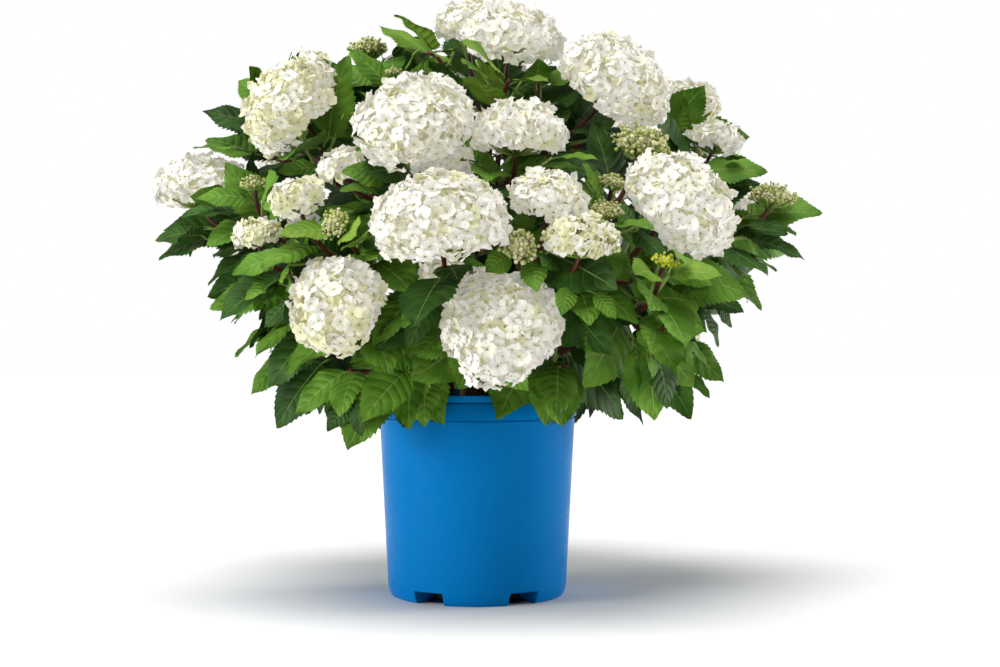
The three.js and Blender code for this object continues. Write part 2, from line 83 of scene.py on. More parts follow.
def hexColour(code):
    # sRGB hex to linear: c / 12.92 below 0.04045, ((c + 0.055) / 1.055) ^ 2.4 above
    srgb = [int(code[i:i + 2], 16) / 255 for i in (1, 3, 5)]
    linear = [c / 12.92 if c <= 0.04045 else ((c + 0.055) / 1.055) ** 2.4 for c in srgb]
    return (*linear, 1.0)


def addPiece(name, shape, materials, nodes, uv=None, slots=None, flat=False):
    # one mesh object at the origin. The shape is its corners, four-sided faces and three-sided faces
    points, quads, tris = shape
    corners = np.concatenate([quads.ravel(), tris.ravel()]).astype(np.int32)
    starts = np.concatenate([np.arange(len(quads)) * 4, len(quads) * 4 + np.arange(len(tris)) * 3])
    mesh = bpy.data.meshes.new(name)
    mesh.vertices.add(len(points))
    mesh.vertices.foreach_set("co", (np.asarray(points) * 0.001).astype(np.float32).ravel())
    mesh.loops.add(len(corners))
    mesh.loops.foreach_set("vertex_index", corners)
    mesh.polygons.add(len(starts))
    mesh.polygons.foreach_set("loop_start", starts.astype(np.int32))
    if uv is not None:
        layer = mesh.uv_layers.new(name="UVMap")
        layer.data.foreach_set("uv", uv[corners].astype(np.float32).ravel())
    for material in materials:
        mesh.materials.append(material)
    if slots is not None:
        mesh.polygons.foreach_set("material_index", slots.astype(np.int32))
    mesh.polygons.foreach_set("use_smooth", np.full(len(starts), not flat))
    mesh.update(calc_edges=True)
    mesh.validate()
    piece = bpy.data.objects.new(name, mesh)
    bpy.context.scene.collection.objects.link(piece)
    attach(piece, "root")
    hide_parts(*nodes)
    print(f"{name}: {len(quads) * 2 + len(tris)} triangles")
    return piece


def addFoliage(name, shape, material, uv=None):
    # stands for all the masses together with the other pieces that this function adds
    addPiece(name, shape, [material], massNodes, uv)


def gridFaces(rows, columns, closed=False):
    # four-sided faces of a rows by columns grid of corners; closed joins the last column to the first
    wide = columns if closed else columns - 1
    r, c = np.meshgrid(np.arange(rows - 1), np.arange(wide), indexing="ij")
    right = (c + 1) % columns
    return np.stack([r * columns + c, r * columns + right, (r + 1) * columns + right,
                     (r + 1) * columns + c], axis=-1).reshape(-1, 4)


def fanFaces(hub, ring, turned=False):
    # three-sided faces from the corner hub to each two neighbours on a closed ring of corners
    after = np.roll(ring, -1)
    return np.stack([np.full(len(ring), hub), *((after, ring) if turned else (ring, after))], axis=1)


def capFaces(rows, columns):
    # both ends of a closed grid, whose two hubs are the corners after its last
    first, hub = np.arange(columns), rows * columns
    return np.vstack([fanFaces(hub, first, True), fanFaces(hub + 1, hub - columns + first)])


def copied(points, times, quads, tris):
    # one shape from the corners of all the copies and the faces of the first
    first = np.arange(times)[:, None, None] * (len(points) // times)
    return (points, *((faces + first).reshape(-1, faces.shape[1]) for faces in (quads, tris)))


def addNode(tree, kind, settings, output=0):
    # settings are the node's own properties and its inputs. An input that is given a socket is linked
    node = tree.nodes.new("ShaderNode" + kind)
    for key, value in settings.items():
        if isinstance(key, str) and key not in node.inputs:
            setattr(node, key, value)
        elif isinstance(value, bpy.types.NodeSocket):
            tree.links.new(value, node.inputs[key])
        else:
            node.inputs[key].default_value = value
    return node.outputs[output] if len(node.outputs) else None


def newMaterial(name):
    material = bpy.data.materials.new(name)
    material.use_nodes = True
    material.node_tree.nodes.clear()
    return material, material.node_tree


def surfaced(material, settings, relief=None, strength=1.0, depth=0.001):
    # the shader with its output, and a bump from the relief that is depth metres high
    tree = material.node_tree
    if relief is not None:
        bump = addNode(tree, "Bump", {"Strength": strength, "Distance": depth, "Height": relief})
        settings = {**settings, "Normal": bump}
    addNode(tree, "OutputMaterial", {"Surface": addNode(tree, "BsdfPrincipled", settings)})
    return material


def formula(tree, value, *steps, clamp=False):
    # the value taken through each operation and number in turn, and kept from 0 to 1 by clamp
    for operation, number in steps:
        value = addNode(tree, "Math", {"operation": operation, 0: value, 1: number})
    value.node.use_clamp = clamp
    return value


def blended(tree, value, low, high, *colours, most=1.0):
    # the first colour where the value is low and the second, as far as most, where it is high. A
    # colour is a hex code or the socket of another blend
    first, second = (hexColour(c) if isinstance(c, str) else c for c in colours)
    share = addNode(tree, "MapRange", {"Value": value, "From Min": low, "From Max": high,
                                       "To Max": most})
    return addNode(tree, "Mix", {"data_type": "RGBA", 0: share, 6: first, 7: second}, 2)


def objectNoise(tree, perMetre, detail=3.0, stretch=(1, 1, 1)):
    # noise on Object coordinates; perMetre is how many patches there are to a metre
    spot = addNode(tree, "TexCoord", {}, "Object")
    spot = addNode(tree, "Mapping", {"Scale": stretch, "Vector": spot})
    return addNode(tree, "TexNoise", {"Scale": perMetre, "Detail": detail, "Vector": spot})


def uvSpot(tree):
    # how far along and how far across the blade or petal
    parts = addNode(tree, "SeparateXYZ", {0: addNode(tree, "UVMap", {"uv_map": "UVMap"})}).node.outputs
    return parts[0], parts[1]


def leafMaterial(name, dark, light, vein):
    # living leaf, thin waxy skin over quilted flesh: a soft gloss, pale ribs and swollen panels
    # between them. The ribs run 1 / 7 of the blade apart, about 13 mm, and lean to the tip.
    material, tree = newMaterial(name)
    ribCount, sideShare, midShare = 7.0, 7.0, 22.0
    along, across = uvSpot(tree)
    across = formula(tree, across, ("MULTIPLY", 2.0), ("SUBTRACT", 1.0), ("ABSOLUTE", 0.0))
    lean = formula(tree, across, ("POWER", 1.25), ("MULTIPLY", 0.24))
    swell = formula(tree, along, ("SUBTRACT", lean), ("MULTIPLY", ribCount), ("MULTIPLY", math.pi),
                    ("SINE", 0.0), ("ABSOLUTE", 0.0))
    sideRib, fading, midRib = (
        formula(tree, value, ("MULTIPLY", -share), ("ADD", 1.0), clamp=True)
        for value, share in ((swell, sideShare), (across, 0.75), (across, midShare)))
    ribs = formula(tree, sideRib, ("MULTIPLY", fading), ("MULTIPLY", 0.5), ("MAXIMUM", midRib))
    flesh = blended(tree, objectNoise(tree, 26.0, 4.0), 0.35, 0.68, dark, light)
    colour = blended(tree, ribs, 0.0, 1.0, flesh, vein, most=0.7)
    fine = objectNoise(tree, 700.0, 2.0)  # the net of small veins, about 1.5 mm apart
    relief = formula(tree, swell, ("MULTIPLY", 0.8), ("ADD", formula(tree, fine, ("MULTIPLY", 0.3))),
                     ("SUBTRACT", formula(tree, midRib, ("MULTIPLY", 0.6))))
    settings = {"Base Color": colour, "Roughness": 0.55, "IOR": 1.42, "Specular IOR Level": 0.22}
    return surfaced(material, settings, relief, 0.7, 0.0013)


def petalMaterial(name, base, tip):
    # living petal, thin and matt like tissue: base is at the eye and tip on the rest, with faint
    # fans of veins about 1 mm apart. Light passes through it, so its shaded side stays pale: a
    # faint glow of the same colour stands for what comes from behind.
    material, tree = newMaterial(name)
    along, across = uvSpot(tree)
    plain = blended(tree, along, 0.02, 0.5, base, tip)
    colour = blended(tree, objectNoise(tree, 45.0), 0.3, 0.75, plain, base, most=0.35)
    veins = formula(tree, across, ("MULTIPLY", 40.0), ("SINE", 0.0))
    settings = {"Base Color": colour, "Emission Color": colour, "Emission Strength": 0.29,
                "Roughness": 0.55, "IOR": 1.38, "Specular IOR Level": 0.3}
    return surfaced(material, settings, veins, 0.35, 0.0004)


def barkMaterial(name, dark, light, roughness, perMetre, stretch):
    # stem skin: long streaks up the stem, corky specks, matt
    material, tree = newMaterial(name)
    streak = objectNoise(tree, perMetre, 5.0, stretch)
    settings = {"Base Color": blended(tree, streak, 0.35, 0.66, dark, light), "Roughness": roughness,
                "IOR": 1.45}
    return surfaced(material, settings, streak, 0.6, 0.0012)


def budMaterial(name, dark, light):
    # closed buds and their stalks: matt skin with a little mottling
    material, tree = newMaterial(name)
    colour = blended(tree, objectNoise(tree, 160.0), 0.35, 0.65, dark, light)
    return surfaced(material, {"Base Color": colour, "Roughness": 0.6, "IOR": 1.4})


def potMaterial(name, colour, gloss):
    # blow-moulded polyethylene, dyed through: satin skin with a fine orange peel, about 1.2 mm
    # across, and long shallow waves left by cooling
    material, tree = newMaterial(name)
    peel = objectNoise(tree, 820.0, 2.0)
    relief = formula(tree, peel, ("MULTIPLY", 0.04), ("ADD", objectNoise(tree, 9.0, 1.0, (1, 1, 0.35))))
    worn = addNode(tree, "MapRange", {"Value": objectNoise(tree, 30.0), "From Min": 0.4,
                                      "From Max": 0.7, "To Min": 0.27, "To Max": 0.36})
    settings = {"Base Color": hexColour(colour), "Roughness": worn, "IOR": 1.51,
                "Specular IOR Level": gloss}
    return surfaced(material, settings, relief, 0.12, 0.0012)


def mixMaterial(name):
    # moist bark and peat: crumbs of 2 to 6 mm in several browns, no shine
    material, tree = newMaterial(name)
    crumbs = objectNoise(tree, 260.0, 6.0)
    colour = blended(tree, crumbs, 0.35, 0.7, "#1c130d", "#5b4331")
    return surfaced(material, {"Base Color": colour, "Roughness": 0.95}, crumbs, 0.9, 0.003)


# partly painted shade: the mature leaf's dark greens go to the inner pairs, and they darken the inside
# of the crown as well as give older leaves their deeper green
deepLeaf = leafMaterial("mature leaf in painted shade", "#1e390d", "#3b6222", "#7f9d4e")
midLeaf = leafMaterial("full-grown leaf", "#446e16", "#6d9833", "#a6bd6c")
brightLeaf = leafMaterial("young leaf", "#557c18", "#7b9b38", "#a9bc6c")
whitePetal = petalMaterial("white petal", "#c9c7b3", "#dddbd6")
softPetal = petalMaterial("ivory petal", "#c3c2a7", "#d9d6cb")
creamPetal = petalMaterial("cream petal", "#bdbf8b", "#d4d1b4")
greenPetal = petalMaterial("petal in shade", "#aeb070", "#d3d0ae")
heartFlesh = budMaterial("crowded petals in the heart", "#c2bf9d", "#e0dcc6")
youngStem = barkMaterial("young cane skin", "#3a120f", "#5f2a20", 0.5, 70.0, (1, 1, 0.25))
oldBark = barkMaterial("old cane bark", "#4d3322", "#9a7a58", 0.85, 90.0, (1, 1, 0.12))
stalkGreen = budMaterial("leaf stalk and flower stalk", "#6f8a3c", "#9bb25c")
creamBud = budMaterial("cream bud", "#b7b680", "#d8d5aa")
greenBud = budMaterial("green bud", "#949d4e", "#b4b872")
limeBud = budMaterial("lime bud", "#98a312", "#d2d238")
darkEye = budMaterial("floret eye", "#7c8070", "#a9ab8c")
potPlastic = potMaterial("satin moulded polyethylene", "#0070b4", 0.03)
# painted shade: the blue plastic in near black, for the notch faces that lie in the dark of the hollow
# foot
potPaintedShade = potMaterial("moulded polyethylene in the dark of the foot", "#08192a", 0.0)
barkMix = mixMaterial("moist bark potting mix")
print("materials made")
# The plan of the plant, the same as its solids have. clear is the least distance from a leaf.
soil = {"top": 211.0, "crown": 4.0}
gap = 0.3
spreadCane = {"foot": 36, "knee": 292, "reach": 108, "height": 330}
tallCane = {"foot": 13, "knee": 350, "reach": 44, "height": 436}
caneSize = {"foot": 6.5, "tip": 4.6, "flare": 1.4}
boughSize = {"foot": 4.3, "tip": 3.5, "flare": 1, "share": 0.4, "rise": 16}
twig = {"foot": 3.6, "fork": 0.3, "approach": 60}
leaf = {"length": 98, "width": 0.64, "petiole": 18, "firstPair": 14, "headRoom": 6, "spacing": 37,
        "pairs": 3, "innerPairs": 3, "sag": 0.22, "widest": 0.42, "level": 0.35}
head = {"flatness": 0.76, "sink": 0.4, "lumps": 0.11}
clear = {"leaf": 9, "limb": 3, "twig": 4, "head": 1, "pot": 4, "fineLeaf": 6.5}
pot = {"height": 234, "rim": 115, "bodyTop": 113, "bodyFoot": 103.5, "sole": 96.5, "footRound": 19,
       "band": 27, "lip": 7.5, "lipIn": 0.4, "groove": 1.7, "cut": 2.8, "undercut": 1.6, "wall": 2.6,
       "edge": 0.7, "falseFloor": 196}
crownMiddle = 380

canes = [
    ("cane_front", 0, spreadCane), ("cane_front_right", 60, spreadCane),
    ("cane_back_right", 120, spreadCane), ("cane_back", 180, spreadCane),
    ("cane_back_left", 240, spreadCane), ("cane_front_left", 300, spreadCane),
    ("tall_cane_front", 20, tallCane), ("tall_cane_back", 150, tallCane),
    ("tall_cane_left", 270, tallCane),
]


def shoot(kind, turn, reach, height, width=0, lean=0, tint="white"):
    # width is the head's, and 0 where there is none
    return {"kind": kind, "turn": turn, "reach": reach, "height": height, "width": width, "lean": lean,
            "tint": tint}


def massOf(name, cane, at, rows, onBough=False):
    # at is how far up its cane the mass or its bough starts
    return {"name": name, "cane": cane, "at": at, "shoots": [shoot(*row) for row in rows],
            "onBough": onBough}


frontMasses = [
    massOf("centre", "cane_front", 1, [
        ("open", -6, 302, 414, 134, 22), ("open", -8, 236, 362, 46, 45)]),
    massOf("low_front", "cane_front", 0.62, [
        ("open", 6, 271, 310, 119, 60), ("leafy", -13, 236, 340)]),
    massOf("front_right", "cane_front", 0.84, [
        ("open", 16, 271, 440, 76, 15), ("young", 20, 309, 394, 69, 10),
        ("bud", 9, 290, 388, 36, 60), ("leafy", 25, 262, 352)], True),
    massOf("left_inner", "cane_front_left", 1, [
        ("open", -37, 300, 440, 52, 20, "cream"), ("bud", -27, 306, 412, 30, 60, "young"),
        ("young", -49, 301, 405, 46, 10), ("leafy", -38, 162, 372)]),
    massOf("low_left", "cane_front_left", 0.66, [("open", -28, 295, 332, 98, 70, "cream")], True),
    massOf("left", "cane_front_left", 0.88, [
        ("open", -79, 316, 467, 100, 5), ("bud", -58, 280, 462, 27, 5),
        ("leafy", -86, 278, 424)], True),
    massOf("far_left_low", "cane_front_left", 0.76, [
        ("leafy", -60, 246, 352), ("leafy", -76, 216, 322)], True),
    massOf("rim_left", "cane_front_left", 0.52, [
        ("leafy", -46, 190, 262), ("leafy", -22, 176, 262)]),
    massOf("right", "cane_front_right", 1, [
        ("open", 45, 304, 436, 121, 54), ("leafy", 52, 268, 366)]),
    massOf("right_buds", "cane_front_right", 0.9, [
        ("bud", 46, 244, 502, 55, 15), ("bud", 33, 261, 457, 27, 15),
        ("bud", 28, 286, 425, 32, 15)], True),
    massOf("right_tip", "cane_front_right", 0.82, [
        ("bud", 80, 336, 455, 47, 10), ("leafy", 87, 318, 438),
        ("leafy", 88, 262, 490)], True),
    massOf("low_right", "cane_front_right", 0.73, [
        ("bud", 33, 347, 373, 22, 20, "lime"), ("bud", 37, 325, 318, 22, 30),
        ("leafy", 66, 256, 350)], True),
    massOf("rim_right", "cane_front_right", 0.52, [
        ("leafy", 54, 196, 300), ("leafy", 34, 178, 268)]),
    massOf("heart", "tall_cane_front", 0.42, [
        ("leafy", -2, 132, 406), ("leafy", 28, 140, 386)]),
    massOf("top", "tall_cane_front", 1, [
        ("open", -21, 32, 655, 74, 10), ("open", 23, 97, 630, 109, 15)]),
    massOf("top_right", "tall_cane_front", 0.86, [
        ("open", 53, 191, 578, 127, 40), ("bud", 34, 120, 590, 16, 10),
        ("leafy", 60, 160, 518)], True),
    massOf("upper_front", "tall_cane_front", 0.7, [
        ("open", 13, 195, 513, 99, 5), ("leafy", 14, 150, 574, 0, 0, "young")]),
    massOf("top_left", "tall_cane_left", 0.86, [
        ("open", -56, 243, 550, 116, 50, "cream"), ("leafy", -88, 248, 540),
        ("leafy", -80, 258, 506)], True),
    massOf("upper_left", "tall_cane_left", 0.68, [
        ("open", -16, 224, 522, 124, 36), ("open", -39, 222, 478, 48, 20),
        ("open", -11, 176, 482, 62, 0)], True),
    massOf("left_crown", "tall_cane_left", 1, [
        ("bud", -99, 131, 634, 42, 10), ("bud", -112, 178, 608, 20, 10),
        ("bud", -60, 110, 596, 18, 10), ("leafy", -100, 150, 608),
        ("leafy", -75, 60, 626, 0, 0, "young")]),
    massOf("right_shoulder", "tall_cane_back", 0.84, [
        ("open", 103, 261, 579, 67, 20), ("open", 92, 277, 528, 62, 10)], True),
    massOf("back_crown", "tall_cane_back", 1, [
        ("open", 176, 108, 615, 112, 20), ("young", 132, 168, 592, 54, 15)]),
]


def backMasses():
    masses = []
    rows = [("cane_back_right", "back_right", 122), ("cane_back", "back", 180),
            ("cane_back_left", "back_left", 238)]
    for row, (cane, side, turn) in enumerate(rows):
        def vary(seed, by):
            return float(chance(90 + row * 10 + seed) - 0.5) * 2 * by

        masses += [
            massOf(side + "_middle", cane, 1, [
                ("open", turn - 13 + vary(1, 3), 318, 440 + vary(2, 12), 118, 30),
                ("young", turn + 12 + vary(3, 3), 307, 418 + vary(4, 8), 66, 45)]),
            massOf(side + "_high", cane, 0.7, [
                ("open", turn + 8 + vary(5, 3), 236 + vary(6, 8), 532 + vary(7, 12), 116, 35),
                ("bud", turn - 22, 250, 520, 36, 10)], True),
            massOf(side + "_low", cane, 0.5, [
                ("open", turn * 0.9 + 18 + vary(8, 4), 284, 320 + vary(9, 8), 102, 62, "cream"),
                ("leafy", turn - 22, 236, 292), ("leafy", turn + 25, 222, 278)]),
        ]
    return masses


def bezier(corners, count=49):
    # the curve's points, spread evenly along it, and its length
    t = np.linspace(0, 1, 241)[:, None]
    degree = len(corners) - 1
    dense = sum(math.comb(degree, i) * (1 - t) ** (degree - i) * t ** i * corner
                for i, corner in enumerate(corners))
    walked = np.concatenate([[0], np.cumsum(np.linalg.norm(np.diff(dense, axis=0), axis=1))])
    even = np.linspace(0, walked[-1], count)
    return {"points": np.stack([np.interp(even, walked, dense[:, k]) for k in range(3)], axis=1),
            "length": walked[-1], "dense": dense}


def onCurve(curve, share):
    # the point and the direction at a share of the curve's length
    points = curve["points"]
    spot = min(max(share, 0.0), 1.0) * (len(points) - 1)
    low = min(int(spot), len(points) - 2)
    way = points[low + 1] - points[low]
    return points[low] + way * (spot - low), unit(way)


def headAxis(one):
    lean = math.radians(one["lean"])
    return outward(one["turn"]) * math.sin(lean) + up * math.cos(lean)


def headDepth(one):
    return one["width"] / 2 * head["flatness"]


def shootCurve(start, way, one):
    reach = np.linalg.norm(one["end"] - start)
    rise = unit(outward(one["turn"]) + up * 0.15) if one["kind"] == "leafy" else headAxis(one)
    back = min(0.35 * reach, twig["approach"])
    return bezier([start, start + way * 0.3 * reach, one["end"] - rise * back, one["end"]])


def layOut():
    limbs = {}
    for name, turn, shape in canes:
        limbs[name] = bezier([
            place(turn, shape["foot"], soil["top"] + soil["crown"] + gap),
            place(turn, shape["foot"], shape["knee"]),
            place(turn, shape["reach"], shape["height"])])
    masses = frontMasses + backMasses()
    for mass in masses:
        for one in mass["shoots"]:
            one["centre"] = place(one["turn"], one["reach"], one["height"])
            sunk = head["sink"] * headDepth(one)
            one["end"] = one["centre"] - headAxis(one) * sunk if one["width"] else one["centre"]
        start, way = onCurve(limbs[mass["cane"]], mass["at"])
        middle = sum(one["end"] for one in mass["shoots"]) / len(mass["shoots"])
        if mass["onBough"]:
            tip = start + (middle - start) * boughSize["share"]
            knee = (start + tip) / 2 - up * boughSize["rise"]
            limbs["bough_" + mass["name"]] = bezier([start, knee, tip])
            start, way = onCurve(limbs["bough_" + mass["name"]], 1)
        if mass["at"] == 1 or mass["onBough"]:
            start = start + way * gap
        mass["stem"] = None
        forward = way
        if len(mass["shoots"]) > 1:
            fork = start + (middle - start) * twig["fork"]
            half = start + way * np.linalg.norm(fork - start) * 0.5
            mass["stem"] = bezier([start, half, fork])
            forward = onCurve(mass["stem"], 1)[1]
        # shoots leave a stem one below another, near its end
        foots = [onCurve(mass["stem"], 0.95 - 0.07 * s)[0] if mass["stem"] else start
                 for s in range(len(mass["shoots"]))]
        mass["curves"] = [shootCurve(foot, forward, one) for foot, one in zip(foots, mass["shoots"])]
        mass["leaves"], mass["fine"] = [], []
    return limbs, masses


limbs, masses = layOut()
shoots = [one for mass in masses for one in mass["shoots"]]
heads = [one for one in shoots if one["width"]]
massNodes = ["mass_" + mass["name"] for mass in masses]
print(f"{len(limbs)} limbs, {len(masses)} masses, {len(heads)} heads")


def turnedAbout(v, axis, angle):
    # Rodrigues: v cos a + (axis x v) sin a + axis (axis . v)(1 - cos a)
    along = axis * (axis @ v) * (1 - math.cos(angle))
    return v * math.cos(angle) + np.cross(axis, v) * math.sin(angle) + along


def bladeWidth(u):
    # half the width as a share of the widest: a quarter circle up to it and a drawn-out tip beyond
    before = np.clip(u / leaf["widest"], 0, 1)
    after = np.clip((1 - u) / (1 - leaf["widest"]), 0, 1)
    return np.where(u < leaf["widest"], np.sqrt(before * (2 - before)), after ** 0.8)


pose = {"droopBelow": 480, "droopOver": 300, "leastDroop": 0.08, "mostDroop": 0.6, "outward": 0.45,
        "backFrom": 40}


def leafAt(curve, below, roundTurn, size, splay, droopMore):
    # a leaf whose stalk leaves the curve below its end; lower leaves droop more
    node, tangent = onCurve(curve, 1 - below / curve["length"])
    level = np.cross(tangent, up)
    if level @ level < 0.05:
        level = np.cross(tangent, outward(0))
    level = turnedAbout(unit(level), tangent, roundTurn) * np.array([1, 1, leaf["level"]])
    out = unit(node - up * crownMiddle)
    stalk = unit(level * math.sin(math.radians(splay)) + tangent * math.cos(math.radians(splay)))
    droop = min(max((pose["droopBelow"] - node[2]) / pose["droopOver"], pose["leastDroop"]),
                pose["mostDroop"]) + droopMore
    way = unit(stalk + out * pose["outward"] - up * droop)
    # the first leaves face the front or the back and the finer ones face out all round
    behind = node[1] >= pose["backFrom"]
    facing = unit(out * np.array([1, 1, 0])) if reachWays else outward(180 if behind else 0)
    face = up * 0.55 + out * 0.45 + facing * 0.5
    normal = unit(face - way * (face @ way))
    length = leaf["length"] * size
    return {"node": node, "neck": node + stalk * leaf["petiole"] * (0.5 + 0.5 * size), "stalk": stalk,
            "way": way, "normal": normal, "side": np.cross(normal, way), "length": length,
            "half": length * leaf["width"] / 2, "size": size}


probeU = np.array([0.05] * 3 + [0.25] * 3 + [0.45] * 3 + [0.65] * 3 + [0.85] * 3 + [1.0])
probeV = np.array([-1, 0, 1] * 5 + [0])


def leafProbes(one):
    # points all over the blade and one on its stalk
    across = probeV * one["half"] * bladeWidth(probeU)
    blade = (one["neck"] + np.outer(one["length"] * probeU, one["way"]) + np.outer(across, one["side"])
             - np.outer(leaf["sag"] * one["length"] * probeU ** 2, one["normal"]))
    return np.vstack([one["node"] * 0.4 + one["neck"] * 0.6, blade])


def segmentDistance(points, starts, ends):
    # from each point to each straight piece: drop a foot on its line and keep it between the ends
    run = ends - starts
    walked = np.einsum("psk,sk->ps", points[:, None] - starts[None], run)
    share = walked / np.einsum("sk,sk->s", run, run)
    foot = starts[None] + run[None] * np.clip(share, 0, 1)[..., None]
    return np.linalg.norm(points[:, None] - foot, axis=2)


def straightPieces(curve, count):
    points = curve["dense"][np.round(np.linspace(0, len(curve["dense"]) - 1, count + 1)).astype(int)]
    return points[:-1], points[1:]


pieceCount = {"limb": 6, "twig": 5}
limbPieces = [straightPieces(curve, pieceCount["limb"]) for curve in limbs.values()]
limbStarts, limbEnds = (np.vstack(a) for a in zip(*limbPieces))
limbFat = np.repeat([(caneSize if "cane" in name else boughSize)["foot"] for name in limbs],
                    pieceCount["limb"])
twigPieces = [(m, *straightPieces(curve, pieceCount["twig"])) for m, mass in enumerate(masses)
              for curve in mass["curves"] + ([mass["stem"]] if mass["stem"] else [])]
twigOwner = np.repeat([m for m, _, _ in twigPieces], pieceCount["twig"])
twigStarts = np.vstack([a for _, a, _ in twigPieces])
twigEnds = np.vstack([b for _, _, b in twigPieces])
headCentres = np.array([one["centre"] for one in heads])
headAxes = np.array([headAxis(one) for one in heads])
headDeep = np.array([headDepth(one) for one in heads]) + clear["head"]
headWide = np.array([one["width"] / 2 for one in heads]) + clear["head"]
taken = np.zeros((60000, 3))
takenCount = 0
reachWays = []  # the directions in which each mass's reach is measured, and that reach


def leafFits(points, number):
    # clear of the pot, the heads, the limbs, other masses' twigs and the leaves there are
    low = points[:, 2] < pot["height"] + clear["pot"]
    if np.any(low & (np.hypot(points[:, 0], points[:, 1]) < pot["rim"] + clear["pot"])):
        return False
    inFront = (points[:, 1] < 0) & (np.abs(points[:, 0]) < pot["rim"])
    if np.any(low & inFront) and not masses[number]["name"].startswith("rim"):
        return False
    apart = points[:, None] - headCentres[None]
    along = np.einsum("phk,hk->ph", apart, headAxes)
    across = np.sqrt(np.maximum(0, np.einsum("phk,phk->ph", apart, apart) - along ** 2))
    if np.any((along / headDeep) ** 2 + (across / headWide) ** 2 < 1):
        return False
    if np.any(segmentDistance(points, limbStarts, limbEnds) < limbFat + clear["limb"]):
        return False
    others = twigOwner != number
    twigRoom = twig["foot"] + clear["twig"]
    if np.any(segmentDistance(points, twigStarts[others], twigEnds[others]) < twigRoom):
        return False
    used = taken[:takenCount]
    room = clear["fineLeaf" if reachWays else "leaf"]
    near = used[np.all((used > points.min(0) - room) & (used < points.max(0) + room), axis=1)]
    if not len(near):
        return True
    return float(((points[:, None] - near[None]) ** 2).sum(2).min()) > room ** 2


def measureReach():
    # how far each mass's flower heads, shoots and large leaves reach in every direction
    ways = np.stack(spiral(90, -1), axis=1)
    reach = []
    for mass in masses:
        parts = [leafProbes(one) for one in mass["leaves"]] + [c["points"] for c in mass["curves"]]
        far = (np.vstack(parts) @ ways.T).max(0)
        for one in mass["shoots"]:
            if one["width"]:
                along = ways @ headAxis(one)
                level = (one["width"] / 2) ** 2 * (1 - along ** 2)
                bulge = np.sqrt((headDepth(one) * along) ** 2 + level)
                far = np.maximum(far, ways @ one["centre"] + bulge)
        reach.append(far)
    return ways, np.array(reach)


def withinReach(points):
    # every point lies inside what at least one mass reaches, or at most 2 mm past it
    ways, reach = reachWays
    held = (points @ ways.T)[:, None, :] <= reach[None] + 2
    return bool(held.all(2).any(1).all())


# size, droop and turn of each try to place a leaf
tries = [(1, 0, 0), (1, 0.35, 0.3), (0.95, -0.25, -0.4), (0.85, 0.15, 0.7), (0.85, 0.2, -0.8),
         (0.7, 0.5, -0.2), (0.66, -0.3, 0.3), (0.55, 0.1, 0.9), (0.5, 0.6, -0.9)]


def growLeaf(number, curve, below, roundTurn, grown, splay, shade):
    # the first try that fits is kept, and its points are taken
    global takenCount
    for size, droop, turn in tries:
        made = leafAt(curve, below, roundTurn + turn, grown * size, splay, droop)
        points = leafProbes(made)
        if leafFits(points, number) and (not reachWays or withinReach(points)):
            taken[takenCount:takenCount + len(points)] = points
            takenCount += len(points)
            made["shade"] = shade
            masses[number]["leaves"].append(made)
            return


def leafShade(one, seed, pair):
    # by shoot: young rosettes are bright, tips of some shoots are mid green and the rest is deep. The
    # deep tone of the inner pairs is partly the darker green of older leaves and partly painted shade
    # of the crown's inside
    if one["tint"] in ("young", "lime"):
        return 2 if pair < 1 or (pair < 2 and one["tint"] == "young") else 1
    mood = float(chance(seed * 0.37 + 5))
    if pair == 0:
        return 2 if mood > 0.9 else 1 if mood > 0.25 else 0
    return 1 if mood > 0.5 and pair < 3 else 0


def eachShoot():
    # every shoot with its mass, its curve and the seed that its leaves start from
    for number, mass in enumerate(masses):
        for s, one in enumerate(mass["shoots"]):
            yield number, mass, one, mass["curves"][s], number * 1000 + s * 100


def growPairs(pairs):
    # opposite pairs down each shoot, every second pair turned a quarter round
    for pair in pairs:
        for number, _, one, curve, shootSeed in eachShoot():
            first = leaf["firstPair"] + pair * leaf["spacing"]
            below = first + (leaf["headRoom"] if one["width"] else 0)
            if below > curve["length"] * 0.92:
                continue
            for half in (0, 1):
                seed = shootSeed + pair * 2 + half
                young = 0.72 if one["width"] > 60 or one["kind"] == "leafy" else 0.55
                grown = min(1, young + pair * 0.2) * (0.92 + 0.2 * float(chance(seed + 0.5)))
                turn = (pair % 2) * math.pi / 2 + half * math.pi + (float(chance(seed)) - 0.5) * 0.6
                growLeaf(number, curve, below, turn, grown, 40 + min(pair, 2) * 13,
                         leafShade(one, shootSeed, pair))


def growSideTwigs():
    # finer twigs: each rises from the joint of a leaf pair and carries two small pairs of its own
    for number, mass, one, curve, shootSeed in eachShoot():
        for k in range(3):
            below = leaf["firstPair"] + (k + 0.5) * leaf["spacing"] + leaf["headRoom"]
            if below > curve["length"] * 0.85:
                continue
            seed = shootSeed + 50 + k * 7
            start, way = onCurve(curve, 1 - below / curve["length"])
            level = unit(np.cross(way, up) + 1e-6)
            side = turnedAbout(level, way, float(chance(seed)) * 2 * math.pi)
            out = unit(start - up * crownMiddle)
            heading = unit(side + way * 0.7 + out * 0.5)
            reach = 34 + 30 * float(chance(seed + 1))
            tip = start + heading * reach + up * reach * 0.15
            fine = bezier([start, start + heading * reach * 0.5, tip], 13)
            before = len(mass["leaves"])
            for pair, half in ((0, 0), (0, 1), (1, 0), (1, 1)):
                stray = (float(chance(seed + pair + half)) - 0.5) * 0.8
                turn = pair * math.pi / 2 + half * math.pi + stray
                grown = (0.5 + pair * 0.16) * (0.9 + 0.25 * float(chance(seed + 2 + half)))
                growLeaf(number, fine, 3 + pair * 20, turn, grown, 42 + pair * 12,
                         leafShade(one, seed, pair))
            if len(mass["leaves"]) > before:
                mass["fine"].append(fine)


